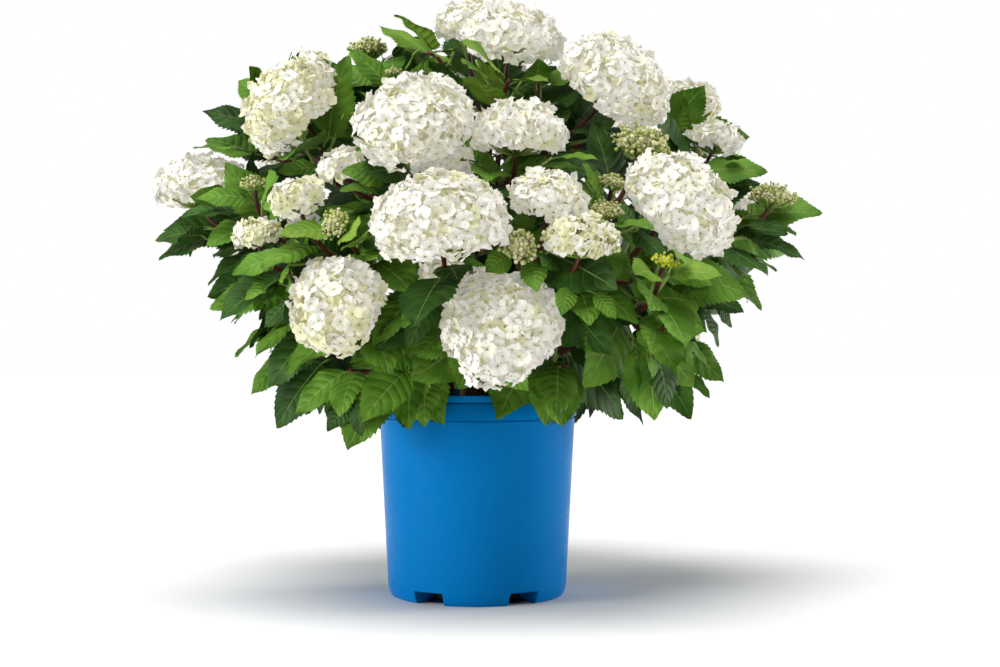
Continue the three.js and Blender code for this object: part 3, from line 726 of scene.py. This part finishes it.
def moveApart(leaves, reach=26, least=11):
    # blades nearer than reach that would lie in one another are moved along the upper one's normal,
    # till they are least apart
    for k, one in enumerate(leaves):
        middle = one["neck"] + one["way"] * one["length"] * 0.5
        for other in leaves[:k]:
            apart = middle - other["neck"] - other["way"] * other["length"] * 0.5
            if apart @ apart < reach ** 2 and one["normal"] @ other["normal"] > 0.3:
                high = apart @ other["normal"]
                step = other["normal"] * math.copysign(max(0.0, least - abs(high)), high)
                one["neck"] = one["neck"] + step
                middle = middle + step


def clearRim(leaves, showsTo=200, shortest=0.62):
    # a blade that hangs in front of the pot is shorter, so the rim still shows
    for one in leaves:
        high = one["neck"][2]
        tip = one["neck"] + one["way"] * one["length"] - one["normal"] * leaf["sag"] * one["length"]
        if tip[1] < 0 and abs(tip[0]) < pot["rim"] and tip[2] < showsTo < high:
            share = max(shortest, (high - showsTo) / (high - tip[2]))
            one["length"] *= share
            one["half"] *= share


growPairs(range(leaf["pairs"]))
reachWays = measureReach()
growPairs(range(leaf["pairs"], leaf["pairs"] + leaf["innerPairs"]))
growSideTwigs()
leaves = [one for mass in masses for one in mass["leaves"]]
moveApart(leaves)
clearRim(leaves)
print(f"{len(leaves)} leaves placed")


blade = {"rows": 16, "columns": 5, "foot": 0.012, "top": 0.965, "teeth": 0.13, "toothAt": (0.15, 0.85),
         "toothUp": 0.014, "fold": 0.28, "curl": 0.22, "wave": 0.07, "bend": 0.08, "roll": 0.5}


def bladeShape():
    # a grid of rows by columns, one point for the tip, and a tooth outside each edge of each row
    rows, columns = blade["rows"], blade["columns"]
    u = np.linspace(blade["foot"], blade["top"], rows)
    gridU, gridV = np.meshgrid(u, np.linspace(-1, 1, columns), indexing="ij")
    teeth = u[:-1] * blade["toothAt"][0] + u[1:] * blade["toothAt"][1] + blade["toothUp"]
    toothV = np.repeat([-1.0, 1.0], rows - 1) * (1 + blade["teeth"])
    allU = np.concatenate([gridU.ravel(), [1.0], teeth, teeth])
    allV = np.concatenate([gridV.ravel(), [0.0], toothV])
    quads = gridFaces(rows, columns)[:, ::-1]
    last, tip = (rows - 1) * columns, rows * columns
    tipFaces = [[last + k + 1, last + k, tip] for k in range(columns - 1)]
    r = np.arange(rows - 1)
    left = np.stack([r * columns, (r + 1) * columns, tip + 1 + r], axis=1)[:, ::-1]
    right = np.stack([(r + 1) * columns - 1, tip + rows + r, (r + 2) * columns - 1], axis=1)[:, ::-1]
    return allU, allV, quads, np.vstack([tipFaces, left, right])


def gathered(group, keys):
    return (np.array([one[key] for one in group]) for key in keys.split())


def leafArrays(group):
    # point = neck + way L u + side (half w v + L bend u^2) + normal (fold and wave - sag L u^2), with
    # side and normal rolled about way by a seeded angle
    u, v, quads, tris = bladeShape()
    past = np.clip((u - leaf["widest"]) / (1 - leaf["widest"]), 0, 1)
    width = np.where(past > 0, 1 - past ** 1.75, np.maximum(bladeWidth(u), 0.03))
    neck, way, level, face, length, half = gathered(group, "neck way side normal length half")
    seed = np.arange(len(group)) * 3.7 + length
    luck = [chance(seed + k)[:, None] for k in range(6)]
    length, half = length[:, None], half[:, None]
    bend = (luck[0] - 0.5) * 2 * blade["bend"]
    fold = blade["fold"] * (0.5 + luck[1])
    curl = blade["curl"] * (0.5 + luck[2])
    phase = luck[3] * 2 * math.pi
    roll = (luck[4] - 0.5) * 2 * blade["roll"]
    sag = leaf["sag"] * (0.7 + 0.5 * luck[5])
    side = level * np.cos(roll) + face * np.sin(roll)
    normal = face * np.cos(roll) - level * np.sin(roll)
    edge = np.abs(v)
    across = half * width * v + length * bend * u ** 2
    lift = (-sag * length * u ** 2 + half * width * (fold * edge - curl * edge ** 2)
            + half * blade["wave"] * np.sin(u * 15 + phase + v) * edge ** 2)
    points = (neck[:, None] + (length * u)[..., None] * way[:, None]
              + across[..., None] * side[:, None] + lift[..., None] * normal[:, None])
    uv = np.stack([u, np.clip(v / (1 + blade["teeth"]), -1, 1) * 0.5 + 0.5], axis=1)
    return copied(points.reshape(-1, 3), len(group), quads, tris), np.tile(uv, (len(group), 1))


for shade, (name, material) in enumerate([("leaves_mature_and_shaded", deepLeaf), ("leaves_full_grown", midLeaf),
                                          ("leaves_young", brightLeaf)]):
    shape, uv = leafArrays([one for one in leaves if one["shade"] == shade])
    addFoliage(name, shape, material, uv)


def tubes(paths, radii, sides):
    # rings round each path: point = path + r (across cos a + third sin a), all paths at once.
    # paths is n by rings by 3, and radii is rings, n by rings or n by rings by sides
    paths = np.asarray(paths, float)
    n, rings, _ = paths.shape
    radii = np.asarray(radii, float)
    reach = radii if radii.ndim == 3 else np.broadcast_to(radii, (n, rings))[..., None]
    run = unit(np.gradient(paths, axis=1))
    guide = np.eye(3)[np.argmin(np.abs(run).max(axis=1), axis=1)][:, None, :]
    across = unit(np.cross(run, guide))
    third = np.cross(run, across)
    angle = circle(sides)[:, None]
    around = across[:, :, None] * np.cos(angle) + third[:, :, None] * np.sin(angle)
    points = (paths[:, :, None] + around * reach[..., None]).reshape(n, -1, 3)
    points = np.concatenate([points, paths[:, :1], paths[:, -1:]], axis=1)
    quads = gridFaces(rings, sides, closed=True)
    return copied(points.reshape(-1, 3), n, quads, capFaces(rings, sides))


def resampled(curve, rings):
    base = np.arange(len(curve["points"]))
    share = np.linspace(0.0, 1.0, rings) * base[-1]
    return np.stack([np.interp(share, base, curve["points"][:, k]) for k in range(3)], axis=1)


def addStalks():
    # leaf stalks: from the twig's middle to the blade's foot, then under the first part of its rib
    node, neck, way, normal, size, length = gathered(leaves, "node neck way normal size length")
    size, length = size[:, None], length[:, None]
    paths = [node, node * 0.6 + neck * 0.4 + way * 0.4, neck - normal * 0.4]
    for share, below in ((0.2, 0.5), (0.42, 0.3)):
        sunk = leaf["sag"] * length * round(share ** 2, 3) + below
        paths.append(neck + way * length * share - normal * sunk)
    radii = [1.7 * size + 0.2, 1.35 * size + 0.1, 1.2 * size, 0.9 * size, 0.25 * size]
    addFoliage("leaf_stalks", tubes(np.stack(paths, axis=1), np.hstack(radii), 5), stalkGreen)


shootSize = {"rings": 28, "sides": 8, "foot": 3.3, "taper": 1.1, "swell": 0.28, "swellLong": 3.5}
forkSize = {"rings": 12, "sides": 10, "foot": 3.9, "tip": 3.6}
sideSize = {"rings": 7, "sides": 6, "foot": 2.2, "tip": 1.3}


def addTwigs():
    # shoots: thinner to the tip, with a swelling where each pair of leaves joins
    paths, radii = [], []
    share = np.linspace(0, 1, shootSize["rings"])
    for _, _, _, curve, _ in eachShoot():
        below = (1 - share) * curve["length"]
        pairs = (below - leaf["firstPair"] - leaf["headRoom"]) / leaf["spacing"]
        off = (pairs - np.round(pairs)) * leaf["spacing"] / shootSize["swellLong"]
        swell = np.exp(-off ** 2) * (pairs > -0.4)
        paths.append(resampled(curve, shootSize["rings"]))
        thick = shootSize["foot"] - shootSize["taper"] * share
        radii.append(thick * (1 + shootSize["swell"] * swell))
    addFoliage("shoots", tubes(paths, radii, shootSize["sides"]), youngStem)
    stems = [mass["stem"] for mass in masses if mass["stem"]]
    fine = [curve for mass in masses for curve in mass["fine"]]
    for name, curves, size, material in (("shoot_forks", stems, forkSize, youngStem),
                                         ("side_shoots", fine, sideSize, stalkGreen)):
        radii = np.linspace(size["foot"], size["tip"], size["rings"])
        paths = [resampled(curve, size["rings"]) for curve in curves]
        addFoliage(name, tubes(paths, radii, size["sides"]), material)


joint = {"spacing": 44, "long": 3.2, "high": 0.7}


def barkRelief(rings, sides, length, seed, depth):
    # ridges that wander up the stem, small lumps, and a ring at each old joint
    high = np.linspace(0, length, rings)[:, None]
    angle = circle(sides)[None]
    ridges = (np.sin(angle * 3 + high * 0.03 + seed) * 0.5
              + np.sin(angle * 5 - high * 0.05 + seed * 2) * 0.35
              + np.sin(angle * 8 + np.sin(high * 0.21 + seed) * 1.5) * 0.3)
    joints = high / joint["spacing"]
    off = (joints - np.round(joints)) * joint["spacing"] / joint["long"]
    return depth * ridges + joint["high"] * np.exp(-off ** 2)


# slim leaves room for the relief inside the solid's own radius
caneBark = {"rings": 64, "sides": 20, "slim": 0.93, "depth": 0.42, "seedStep": 1.7}
boughBark = {"rings": 30, "sides": 14, "slim": 0.94, "depth": 0.16, "seedStep": 2.3}


def addLimbs(name, nodes, size, bark, material):
    # bark relief on tapering stems, with the foot flared where it leaves the mix
    rings, sides = bark["rings"], bark["sides"]
    share = np.linspace(0, 1, rings)[:, None]
    base = (size["foot"] + (size["tip"] - size["foot"]) * share) * bark["slim"]
    base = base * (1 + (size["flare"] - 1) * np.clip(1 - share * 8, 0, 1))
    paths = [resampled(limbs[node], rings) for node in nodes]
    radii = [base + barkRelief(rings, sides, limbs[node]["length"], k * bark["seedStep"], bark["depth"])
             for k, node in enumerate(nodes)]
    addPiece(name, tubes(paths, radii, sides), [material], nodes)


addStalks()
addTwigs()
addLimbs("canes", [name for name, _, _ in canes], caneSize, caneBark, oldBark)
addLimbs("boughs", [name for name in limbs if name.startswith("bough_")], boughSize, boughBark,
         youngStem)


# cover is how many florets or buds there are to each spacing squared of the head's round
floret = {"sepal": 11.0, "spacing": 11.3, "cover": 2.6, "within": 0.55, "rows": 4, "across": 4,
          "shapes": 8}
bud = {"radius": 2.0, "spacing": 4.1, "cover": 2.2}
tones = {"white": 0.42, "ivory": 0.04, "creamHead": 0.35}
openDome = {"lowest": -0.45, "scale": 0.9, "squash": 0.86}
innerDome = {"lowest": -0.4, "scale": 0.84, "squash": 0.86}
budDome = {"lowest": -0.35, "scale": 0.9}
youngDome = {"lowest": -0.4, "scale": 0.95}


def headFrame(one):
    axis = headAxis(one)
    side = unit(np.cross(up, outward(one["turn"])))
    return side, np.cross(axis, side), axis


def flattened(z, share):
    # the part of a dome below -0.3 is drawn in to a share of its depth
    return np.where(z < -0.3, -0.3 + (z + 0.3) * share, z)


def domePoints(one, count, lowest, scale=1.0, squash=1.0):
    # a spiral over the dome from its top to lowest, and the dome's outward direction
    x, y, z = spiral(count, lowest, one["turn"])
    deep = flattened(z, 0.45)
    lumps = (1 + head["lumps"] * np.sin(3.6 * x + one["turn"]) * np.sin(3.6 * y + one["reach"])
             * np.cos(2 * z))
    side, third, axis = headFrame(one)
    wide, high = one["width"] / 2 * scale, headDepth(one) * scale * squash
    apart = np.outer(x * wide, side) + np.outer(y * wide, third) + np.outer(deep * high, axis)
    normals = unit(np.outer(x / wide, side) + np.outer(y / wide, third) + np.outer(z / high, axis))
    return one["centre"] + apart * lumps[:, None], normals


def sepalGrid(spread, cup, reflex, ruffle):
    # half width = spread u^0.55 (1 - u^3.2)^0.75; height = cup u - reflex u^3 - arch of the width
    # and a ruffle along the edge
    u, v = np.meshgrid(np.linspace(0.05, 1, floret["rows"]), np.linspace(-1, 1, floret["across"]),
                       indexing="ij")
    half = spread * u ** 0.55 * (1 - u ** 3.2 * 0.995) ** 0.75
    z = (cup * u - reflex * u ** 3 - 0.22 * (half * v) ** 2 / spread
         + ruffle * np.sin(v * 3.4 + ruffle * 90) * u ** 2)
    points = np.stack([u * (1 - 0.1 * v ** 2), half * v, z], axis=-1)
    return points.reshape(-1, 3), np.stack([u, v * 0.5 + 0.5], axis=-1).reshape(-1, 2)


def floretShape(seed):
    # four sepals in two crossed pairs, the upper pair a little higher and smaller
    points, uvs, faces = [], [], []
    for k in range(4):
        upper = k % 2
        luck = chance(seed * 10 + k + np.array([0.1, 0.2, 0.3, 0.4]))
        grid, uv = sepalGrid(0.68 + 0.14 * luck[0], 0.08 + 0.55 * luck[1], 0.1 + 0.4 * luck[2],
                             0.08 + 0.2 * luck[3])
        grid = grid * (0.9 + 0.2 * luck[3] - 0.05 * upper)
        angle = k * math.pi / 2 + (luck[0] - 0.5) * 0.3
        cos, sin = math.cos(angle), math.sin(angle)
        faces.append(gridFaces(floret["rows"], floret["across"])[:, ::-1] + k * len(grid))
        points.append(grid @ np.array([[cos, sin, 0], [-sin, cos, 0], [0, 0, 1]]) + up * 0.06 * upper)
        uvs.append(uv)
    return np.vstack(points), np.vstack(uvs), np.vstack(faces)


def ballShape(levels, sides):
    # a small ball: rings at the given levels between two points
    ringZ, angle = np.array(levels)[:, None], circle(sides)
    wide = np.sqrt(1 - ringZ ** 2)
    rings = np.stack([wide * np.cos(angle), wide * np.sin(angle), ringZ + 0 * angle], axis=-1)
    points = np.vstack([rings.reshape(-1, 3), -up, up])
    return points, gridFaces(len(levels), sides, closed=True), capFaces(len(levels), sides)


def tangents(normals, angles):
    # two directions square to each normal, turned by its own angle
    guide = np.where(np.abs(normals[:, 2:]) < 0.9, up[None], np.array([[1.0, 0, 0]]))
    a = unit(np.cross(guide, normals))
    b = np.cross(normals, a)
    cos, sin = np.cos(angles)[:, None], np.sin(angles)[:, None]
    return a * cos + b * sin, b * cos - a * sin


def tilted(normals, seeds, amount):
    # each direction leans off by a seeded amount to a seeded side
    a, _ = tangents(normals, chance(seeds) * 2 * math.pi)
    return unit(normals + a * (amount * chance(seeds + 0.7))[:, None])


def stamped(shape, places, normals, spins, sizes):
    # a shape's own x, y and z laid along two tangents and the normal at every place
    a, b = tangents(normals, spins)
    scaled = shape[None] * sizes[:, None, None]
    points = (places[:, None] + scaled[..., :1] * a[:, None] + scaled[..., 1:2] * b[:, None]
              + scaled[..., 2:] * normals[:, None])
    return points.reshape(-1, 3)


bloom = {key: [] for key in ("white", "ivory", "cream", "shade")}
beads = {key: [] for key in ("eye", "cream", "green", "lime")}


def addFlorets(kind, places, normals, seeds, sizes):
    bloom[kind].append((places, normals, seeds, sizes))
    beads["eye"].append((places + normals * (sizes * 0.09)[:, None], normals, sizes * 0.085))


def openHead(one, number):
    # florets all over the dome, the upper layer full size, a smaller and greener one within
    area = math.pi * (one["width"] / 2) ** 2 * floret["cover"]
    count = max(10, int(area / floret["spacing"] ** 2))
    places, normals = domePoints(one, count, **openDome)
    seeds = np.arange(count) * 1.31 + number * 57.3
    places = places + normals * ((chance(seeds + 3) - 0.55) * 11 * min(1, one["width"] / 100))[:, None]
    # the lower ones hang from their stalks and turn down, so the head ends in a ragged skirt
    under = np.clip(-normals[:, 2] - 0.1, 0, 0.7)[:, None]
    places = places - up * under * (2 + 8 * chance(seeds + 7))[:, None]
    facing = tilted(unit(normals - up * under * 0.5), seeds, 0.95)
    small = floret["sepal"] * min(1.0, 0.8 + one["width"] / 500)
    sizes = small * (0.82 + 0.34 * chance(seeds + 5))
    tone = chance(seeds + 9) - (tones["creamHead"] if one["tint"] == "cream" else 0)
    white, cream = tone > tones["white"], tone <= tones["ivory"]
    for kind, chosen in (("white", white), ("ivory", ~white & ~cream), ("cream", cream)):
        addFlorets(kind, places[chosen], facing[chosen], seeds[chosen], sizes[chosen])
    count = int(count * floret["within"])
    places, normals = domePoints(one, count, **innerDome)
    seeds = np.arange(count) * 1.77 + number * 91.7
    addFlorets("shade", places, tilted(normals, seeds, 0.5), seeds, small * 0.8 * np.ones(count))


def budHead(one, number, fill=1.0):
    # closed buds crowded on the dome in little knots
    area = math.pi * (one["width"] / 2) ** 2 * bud["cover"] * fill
    count = max(9, int(area / bud["spacing"] ** 2))
    places, normals = domePoints(one, count, **budDome)
    seeds = np.arange(count) * 2.11 + number * 33.1
    clump = (np.sin(places @ np.array([0.9, 0.5, 0.7]) * 0.75)
             * np.sin(places @ np.array([-0.4, 0.8, 0.6]) * 0.8 + number))
    lift = clump * 0.15 * one["width"] + (chance(seeds) - 0.6) * one["width"] * 0.12
    places = places + normals * lift[:, None]
    axis = headAxis(one)
    places = places - axis * ((places - one["centre"]) @ axis * 0.2)[:, None]
    sizes = bud["radius"] * (0.7 + 0.65 * chance(seeds + 4)) * min(1.15, 0.8 + one["width"] / 160)
    green = chance(seeds + 6) < 0.45
    kinds = ("lime", "lime") if one["tint"] == "lime" else ("green", "cream")
    for kind, chosen in zip(kinds, (green, ~green)):
        beads[kind].append((places[chosen], normals[chosen], sizes[chosen]))
    return places


def youngHead(one, number):
    # half-open: small cupped florets among buds
    budHead(one, number, 0.8)
    count = max(12, int(math.pi * (one["width"] / 2) ** 2 * 2.4 / 90))
    places, normals = domePoints(one, count, **youngDome)
    seeds = np.arange(count) * 1.13 + number * 71.9
    isOpen = chance(seeds + 3) < np.where(normals @ headAxis(one) > 0.7, 0.45, 0.9)
    pale = chance(seeds + 5) < 0.5
    sizes = 8.4 * (0.75 + 0.5 * chance(seeds + 1))
    facing = tilted(normals, seeds, 0.9)
    for kind, chosen in (("ivory", isOpen & pale), ("cream", isOpen & ~pale)):
        addFlorets(kind, places[chosen], facing[chosen], seeds[chosen], sizes[chosen])


heart = {"rows": 15, "columns": 26, "pole": 0.02, "lump": 0.05, "open": 0.83, "other": 0.62}


def heartPoints(one, number):
    # the crowded middle of a head: a lumpy closed dome, flatter below
    lat = np.linspace(heart["pole"], math.pi - heart["pole"], heart["rows"])[:, None]
    lon = circle(heart["columns"])[None]
    bend = np.sin(lat * 9 + number) * 2
    lumps = 1 + heart["lump"] * np.sin(lon * 7 + bend) * np.sin(lat * 8 + number * 2)
    x, y = np.sin(lat) * np.cos(lon) * lumps, np.sin(lat) * np.sin(lon) * lumps
    z = flattened(np.cos(lat) * lumps, 0.3)
    side, third, axis = headFrame(one)
    scale = heart["open" if one["kind"] == "open" else "other"]
    wide, high = one["width"] / 2 * scale, headDepth(one) * scale * openDome["squash"]
    points = (one["centre"] + (x * wide)[..., None] * side + (y * wide)[..., None] * third
              + (z * high)[..., None] * axis)
    return points.reshape(-1, 3)


def addHearts():
    rows, columns = heart["rows"], heart["columns"]
    made = [heartPoints(one, k) for k, one in enumerate(heads)]
    first = np.arange(columns)
    caps = np.vstack([fanFaces(0, first)[1:-1], (rows - 1) * columns + fanFaces(0, first, True)[1:-1]])
    quads = gridFaces(rows, columns, closed=True)[:, ::-1]
    addFoliage("head_hearts", copied(np.vstack(made), len(made), quads, caps), heartFlesh)


def fillHeads():
    # the florets and buds of every head, and stalks that fork from its foot to some of them
    paths = []
    for number, one in enumerate(heads):
        if one["kind"] == "open":
            openHead(one, number)
            ends, _ = domePoints(one, 30, -0.45, 0.8)
        elif one["kind"] == "young":
            youngHead(one, number)
            ends, _ = domePoints(one, 26, -0.4, 0.85)
        else:
            ends = budHead(one, number)[::2]
        axis = headAxis(one)
        foot = one["end"] - axis * headDepth(one) * 0.25
        fork = foot * 0.45 + (ends * 0.55 + axis * -headDepth(one) * 0.12)
        paths.append(np.stack([np.broadcast_to(foot, ends.shape), fork, ends], axis=1))
    addFoliage("flower_stalks", tubes(np.vstack(paths), [1.5, 1.1, 0.6], 4), stalkGreen)


noTris = np.zeros((0, 3), int)


def addFloretPiece(name, kind, material):
    places, normals, seeds, sizes = (np.concatenate(a) for a in zip(*bloom[kind]))
    pick = (chance(seeds + 2) * len(floretShapes)).astype(int)
    points, quads, uvs, base = [], [], [], 0
    for k, (shape, uv, faces) in enumerate(floretShapes):
        mine = pick == k
        spins = chance(seeds[mine] + 8) * 7
        made, sepals, _ = copied(stamped(shape, places[mine], normals[mine], spins, sizes[mine]),
                                 len(spins), faces, noTris)
        points.append(made)
        quads.append(sepals + base)
        uvs.append(np.tile(uv, (len(spins), 1)))
        base += len(made)
    addFoliage(name, (np.vstack(points), np.vstack(quads), noTris), material, np.vstack(uvs))


def addBeads(name, kind, material, levels):
    ball, quads, tris = ballShape(levels, 5)
    places, normals, sizes = (np.concatenate(a) for a in zip(*beads[kind]))
    n = len(places)
    points = stamped(ball, places, normals, np.arange(n) * 1.0, sizes)
    addFoliage(name, copied(points, n, quads, tris), material)


fillHeads()
floretShapes = [floretShape(seed) for seed in range(floret["shapes"])]
addFloretPiece("florets_white", "white", whitePetal)
addFloretPiece("florets_ivory", "ivory", softPetal)
addFloretPiece("florets_cream", "cream", creamPetal)
addFloretPiece("florets_within", "shade", greenPetal)
addBeads("floret_eyes", "eye", darkEye, [0.0])
addBeads("buds_cream", "cream", creamBud, [-0.5, 0.5])
addBeads("buds_green", "green", greenBud, [-0.5, 0.5])
addBeads("buds_lime", "lime", limeBud, [-0.5, 0.5])
addHearts()


notch = {"width": 33, "height": 14.5, "depth": 15, "turns": (-32, 32, 148, 212)}
drain = {"width": 28, "height": 9.5, "rise": 3.4, "depth": 9}
axisHole = 0.5  # the innermost ring of the sole and of the false floor


def potProfile():
    # plain wall, from the middle of the sole out and up over the lip to the false floor inside
    bend = np.linspace(0, math.pi / 2, 12)
    foot = np.stack([pot["sole"] + (pot["bodyFoot"] - pot["sole"]) * np.sin(bend),
                     pot["footRound"] * (1 - np.cos(bend))], axis=1)
    rim, top, body, edge = pot["rim"], pot["height"], pot["bodyTop"], pot["edge"]
    waist, neck, lip = body - pot["undercut"], rim - pot["cut"], rim - pot["lipIn"]
    mouth = body + 1 - pot["wall"]
    bandFoot, lipFoot = top - pot["band"], top - pot["lip"]
    grooveFoot = lipFoot - pot["groove"]
    upper = [(body, bandFoot - 2.4), (waist, bandFoot - 1.5), (waist, bandFoot - 0.1),
             (rim - edge, bandFoot + 0.3), (rim, bandFoot + 0.3 + edge), (rim, grooveFoot - edge),
             (rim - edge * 0.6, grooveFoot), (neck, grooveFoot), (neck, lipFoot), (rim - edge, lipFoot),
             (lip, lipFoot + edge), (lip, top - edge), (lip - edge, top), (mouth + edge, top),
             (mouth, top - edge), (body - pot["wall"], pot["falseFloor"]),
             (axisHole, pot["falseFloor"])]
    return foot, np.array(upper)


def onSole(reaches):
    return np.array([[reach, 0.0] for reach in reaches])


def addPot():
    # profile carried round the axis; inside a notch the foot of the profile steps in and up
    foot, upper = potProfile()
    inner = pot["sole"] - notch["depth"]
    soleIn = onSole([axisHole, inner * 0.5, inner - 1, inner])
    soleOut = onSole([inner + 0.2, inner + 2, inner + 4, inner + 6, inner + 8, pot["sole"] - 1])
    wall = foot[-1] + (upper[0] - foot[-1]) * np.linspace(0, 1, 7)[1:-1, None]
    lowCount = int(np.sum(foot[:, 1] < notch["height"]))
    plain = np.vstack([soleIn, soleOut, foot, wall, upper])
    # the recessed foot has as many points: up the inner wall, past the drain slot, out under the roof
    slotFoot, slotTop = drain["rise"], drain["rise"] + drain["height"]
    highs = (1.2, slotFoot, slotFoot, slotTop, slotTop, notch["height"])
    climb = np.array([[inner, high] for high in highs])
    outerAt = np.interp(notch["height"], foot[:, 1], foot[:, 0])
    roof = np.linspace([inner + 1, notch["height"]], [outerAt, notch["height"]], lowCount)
    cut = np.vstack([soleIn, climb, roof, foot[lowCount:], wall, upper])
    slotRow = len(soleIn) + 2
    slotted = cut.copy()
    slotted[slotRow:slotRow + 2, 0] -= drain["depth"]
    # columns crowd at each side of a notch and of a drain slot, so their walls stand straight
    edges = []
    for turn in notch["turns"]:
        for width in (notch["width"], drain["width"]):
            at = math.degrees(math.asin(width / 2 / pot["sole"]))
            edges += [turn - at - 0.04, turn - at + 0.04, turn + at - 0.04, turn + at + 0.04]
    angles = np.unique(np.concatenate([np.arange(-180, 180, 1.5), np.array(edges)]) % 360)
    distance = np.min([np.abs((angles - turn + 180) % 360 - 180) for turn in notch["turns"]], axis=0)
    inNotch = distance < math.degrees(math.asin(notch["width"] / 2 / pot["sole"]))
    inSlot = distance < math.degrees(math.asin(drain["width"] / 2 / inner))
    profiles = np.where(inSlot[:, None, None], slotted[None],
                        np.where(inNotch[:, None, None], cut[None], plain[None]))
    turn = np.radians(angles)[:, None]
    reach, high = profiles[..., 0], profiles[..., 1]
    rings = np.stack([np.sin(turn) * reach, -np.cos(turn) * reach, high], axis=-1)
    columns, rows = len(angles), len(plain)
    points = np.vstack([rings.transpose(1, 0, 2).reshape(-1, 3), up * 0, up * pot["falseFloor"]])
    quads = gridFaces(rows, columns, closed=True)
    caps = capFaces(rows, columns)
    row, column = np.arange(len(quads)) // columns, np.arange(len(quads)) % columns
    after = (column + 1) % columns
    behind = (row == slotRow) & inSlot[column] & inSlot[after]
    # past the thickness of the wall the faces of a notch get painted shade: the same plastic in near
    # black, standing for the dark hollow of the foot
    middle = points[quads].mean(axis=1)
    wallAt = np.interp(middle[:, 2], foot[:, 1], foot[:, 0])
    inside = ((np.hypot(middle[:, 0], middle[:, 1]) < wallAt - pot["wall"]) & (middle[:, 2] > 0.3)
              & (middle[:, 2] < notch["height"] + 0.1) & (inNotch[column] | inNotch[after]))
    slots = np.concatenate([np.where(behind, 1, np.where(inside, 2, 0)), np.zeros(len(caps), int)])
    piece = addPiece("nursery_pot", (points, quads, caps), [potPlastic, barkMix, potPaintedShade],
                     ["pot"], slots=slots)
    sharp = piece.modifiers.new("crisp edges", "EDGE_SPLIT")
    sharp.split_angle = math.radians(38)


mixShape = {"rows": 46, "columns": 150, "radius": 108.3, "foot": 197.0}


def addMix():
    # crumbly top: height = heap + lumps of several sizes, closed below by a flat disc
    rows, columns = mixShape["rows"], mixShape["columns"]
    radius = np.linspace(0.02, 1, rows)[:, None] * mixShape["radius"]
    angle = circle(columns)[None]
    x, y = radius * np.cos(angle), radius * np.sin(angle)
    lumps = (np.sin(x * 0.31 + np.sin(y * 0.23) * 2) * np.sin(y * 0.29 + np.sin(x * 0.19) * 2) * 1.3
             + np.sin(x * 0.83 + y * 0.4) * np.sin(y * 0.77 - x * 0.3) * 0.8
             + (chance(x * 3.1 + y * 7.7) - 0.5) * 1.5)
    heap = soil["crown"] * (1 - smooth(0.5, 1.0, radius / mixShape["radius"]))
    top = np.stack([x, y, soil["top"] - 1.2 + heap + lumps * 0.9], axis=-1)
    skirt = np.stack([x[-1:], y[-1:], np.full((1, columns), mixShape["foot"])], axis=-1)
    points = np.vstack([top.reshape(-1, 3), skirt.reshape(-1, 3),
                        up * (soil["top"] + soil["crown"] - 1), up * mixShape["foot"]])
    quads = gridFaces(rows + 1, columns, closed=True)[:, ::-1]
    first, peak = np.arange(columns), (rows + 1) * columns
    tris = np.vstack([fanFaces(peak, first), fanFaces(peak + 1, peak - columns + first, True)])
    addPiece("bark_mix", (points, quads, tris), [barkMix], ["potting_mix"], flat=True)


addPot()
addMix()


def linked(item):
    bpy.context.scene.collection.objects.link(item)
    return item


def addFloor():
    # a wide pale disc, matt paint, 12 m in radius
    floorPaint, _ = newMaterial("matt white floor paint")
    surfaced(floorPaint, {"Base Color": hexColour("#f7f7f7"), "Roughness": 0.9})
    angle = circle(64)
    mesh = bpy.data.meshes.new("floor")
    ring = np.stack([np.cos(angle) * 12, np.sin(angle) * 12, 0 * angle], axis=1)
    mesh.from_pydata(ring.tolist(), [], [list(range(len(ring)))])
    mesh.materials.append(floorPaint)
    linked(bpy.data.objects.new("floor", mesh))


def addSun(name, energy, softness, turn, rise):
    # turn is where the light comes from, 0 the front and 90 the right; rise is above the horizon
    lamp = bpy.data.lights.new(name, "SUN")
    lamp.energy = energy
    lamp.angle = math.radians(softness)
    holder = linked(bpy.data.objects.new(name, lamp))
    holder.rotation_euler = (math.radians(90 - rise), 0, math.radians(turn))


def addWorld():
    # white where the camera sees it, and weaker as a light
    world = bpy.data.worlds.new("white studio")
    world.use_nodes = True
    tree = world.node_tree
    tree.nodes.clear()
    strength = addNode(tree, "MapRange", {"Value": addNode(tree, "LightPath", {}, "Is Camera Ray"),
                                          "To Min": 0.27, "To Max": 1.0})
    light = addNode(tree, "Background", {"Color": (1, 1, 1, 1), "Strength": strength})
    addNode(tree, "OutputWorld", {"Surface": light})
    bpy.context.scene.world = world


def addCamera():
    # level, 1.95 m in front, a little right of the pot's axis and 302 mm up
    data = bpy.data.cameras.new("camera")
    data.lens = 60.4
    data.sensor_width = 36
    data.clip_end = 50
    camera = linked(bpy.data.objects.new("camera", data))
    camera.location = (0.0264, -1.95, 0.302)
    camera.rotation_euler = (math.radians(90), 0, 0)
    bpy.context.scene.camera = camera


addFloor()
addSun("key light", 2.6, 42, -18, 70)
addSun("left side light", 3.3, 35, -67, 5)
addSun("right side light", 2.9, 35, 106, 5)
addWorld()
addCamera()
bpy.context.scene.view_settings.view_transform = "Standard"
print("stage set")
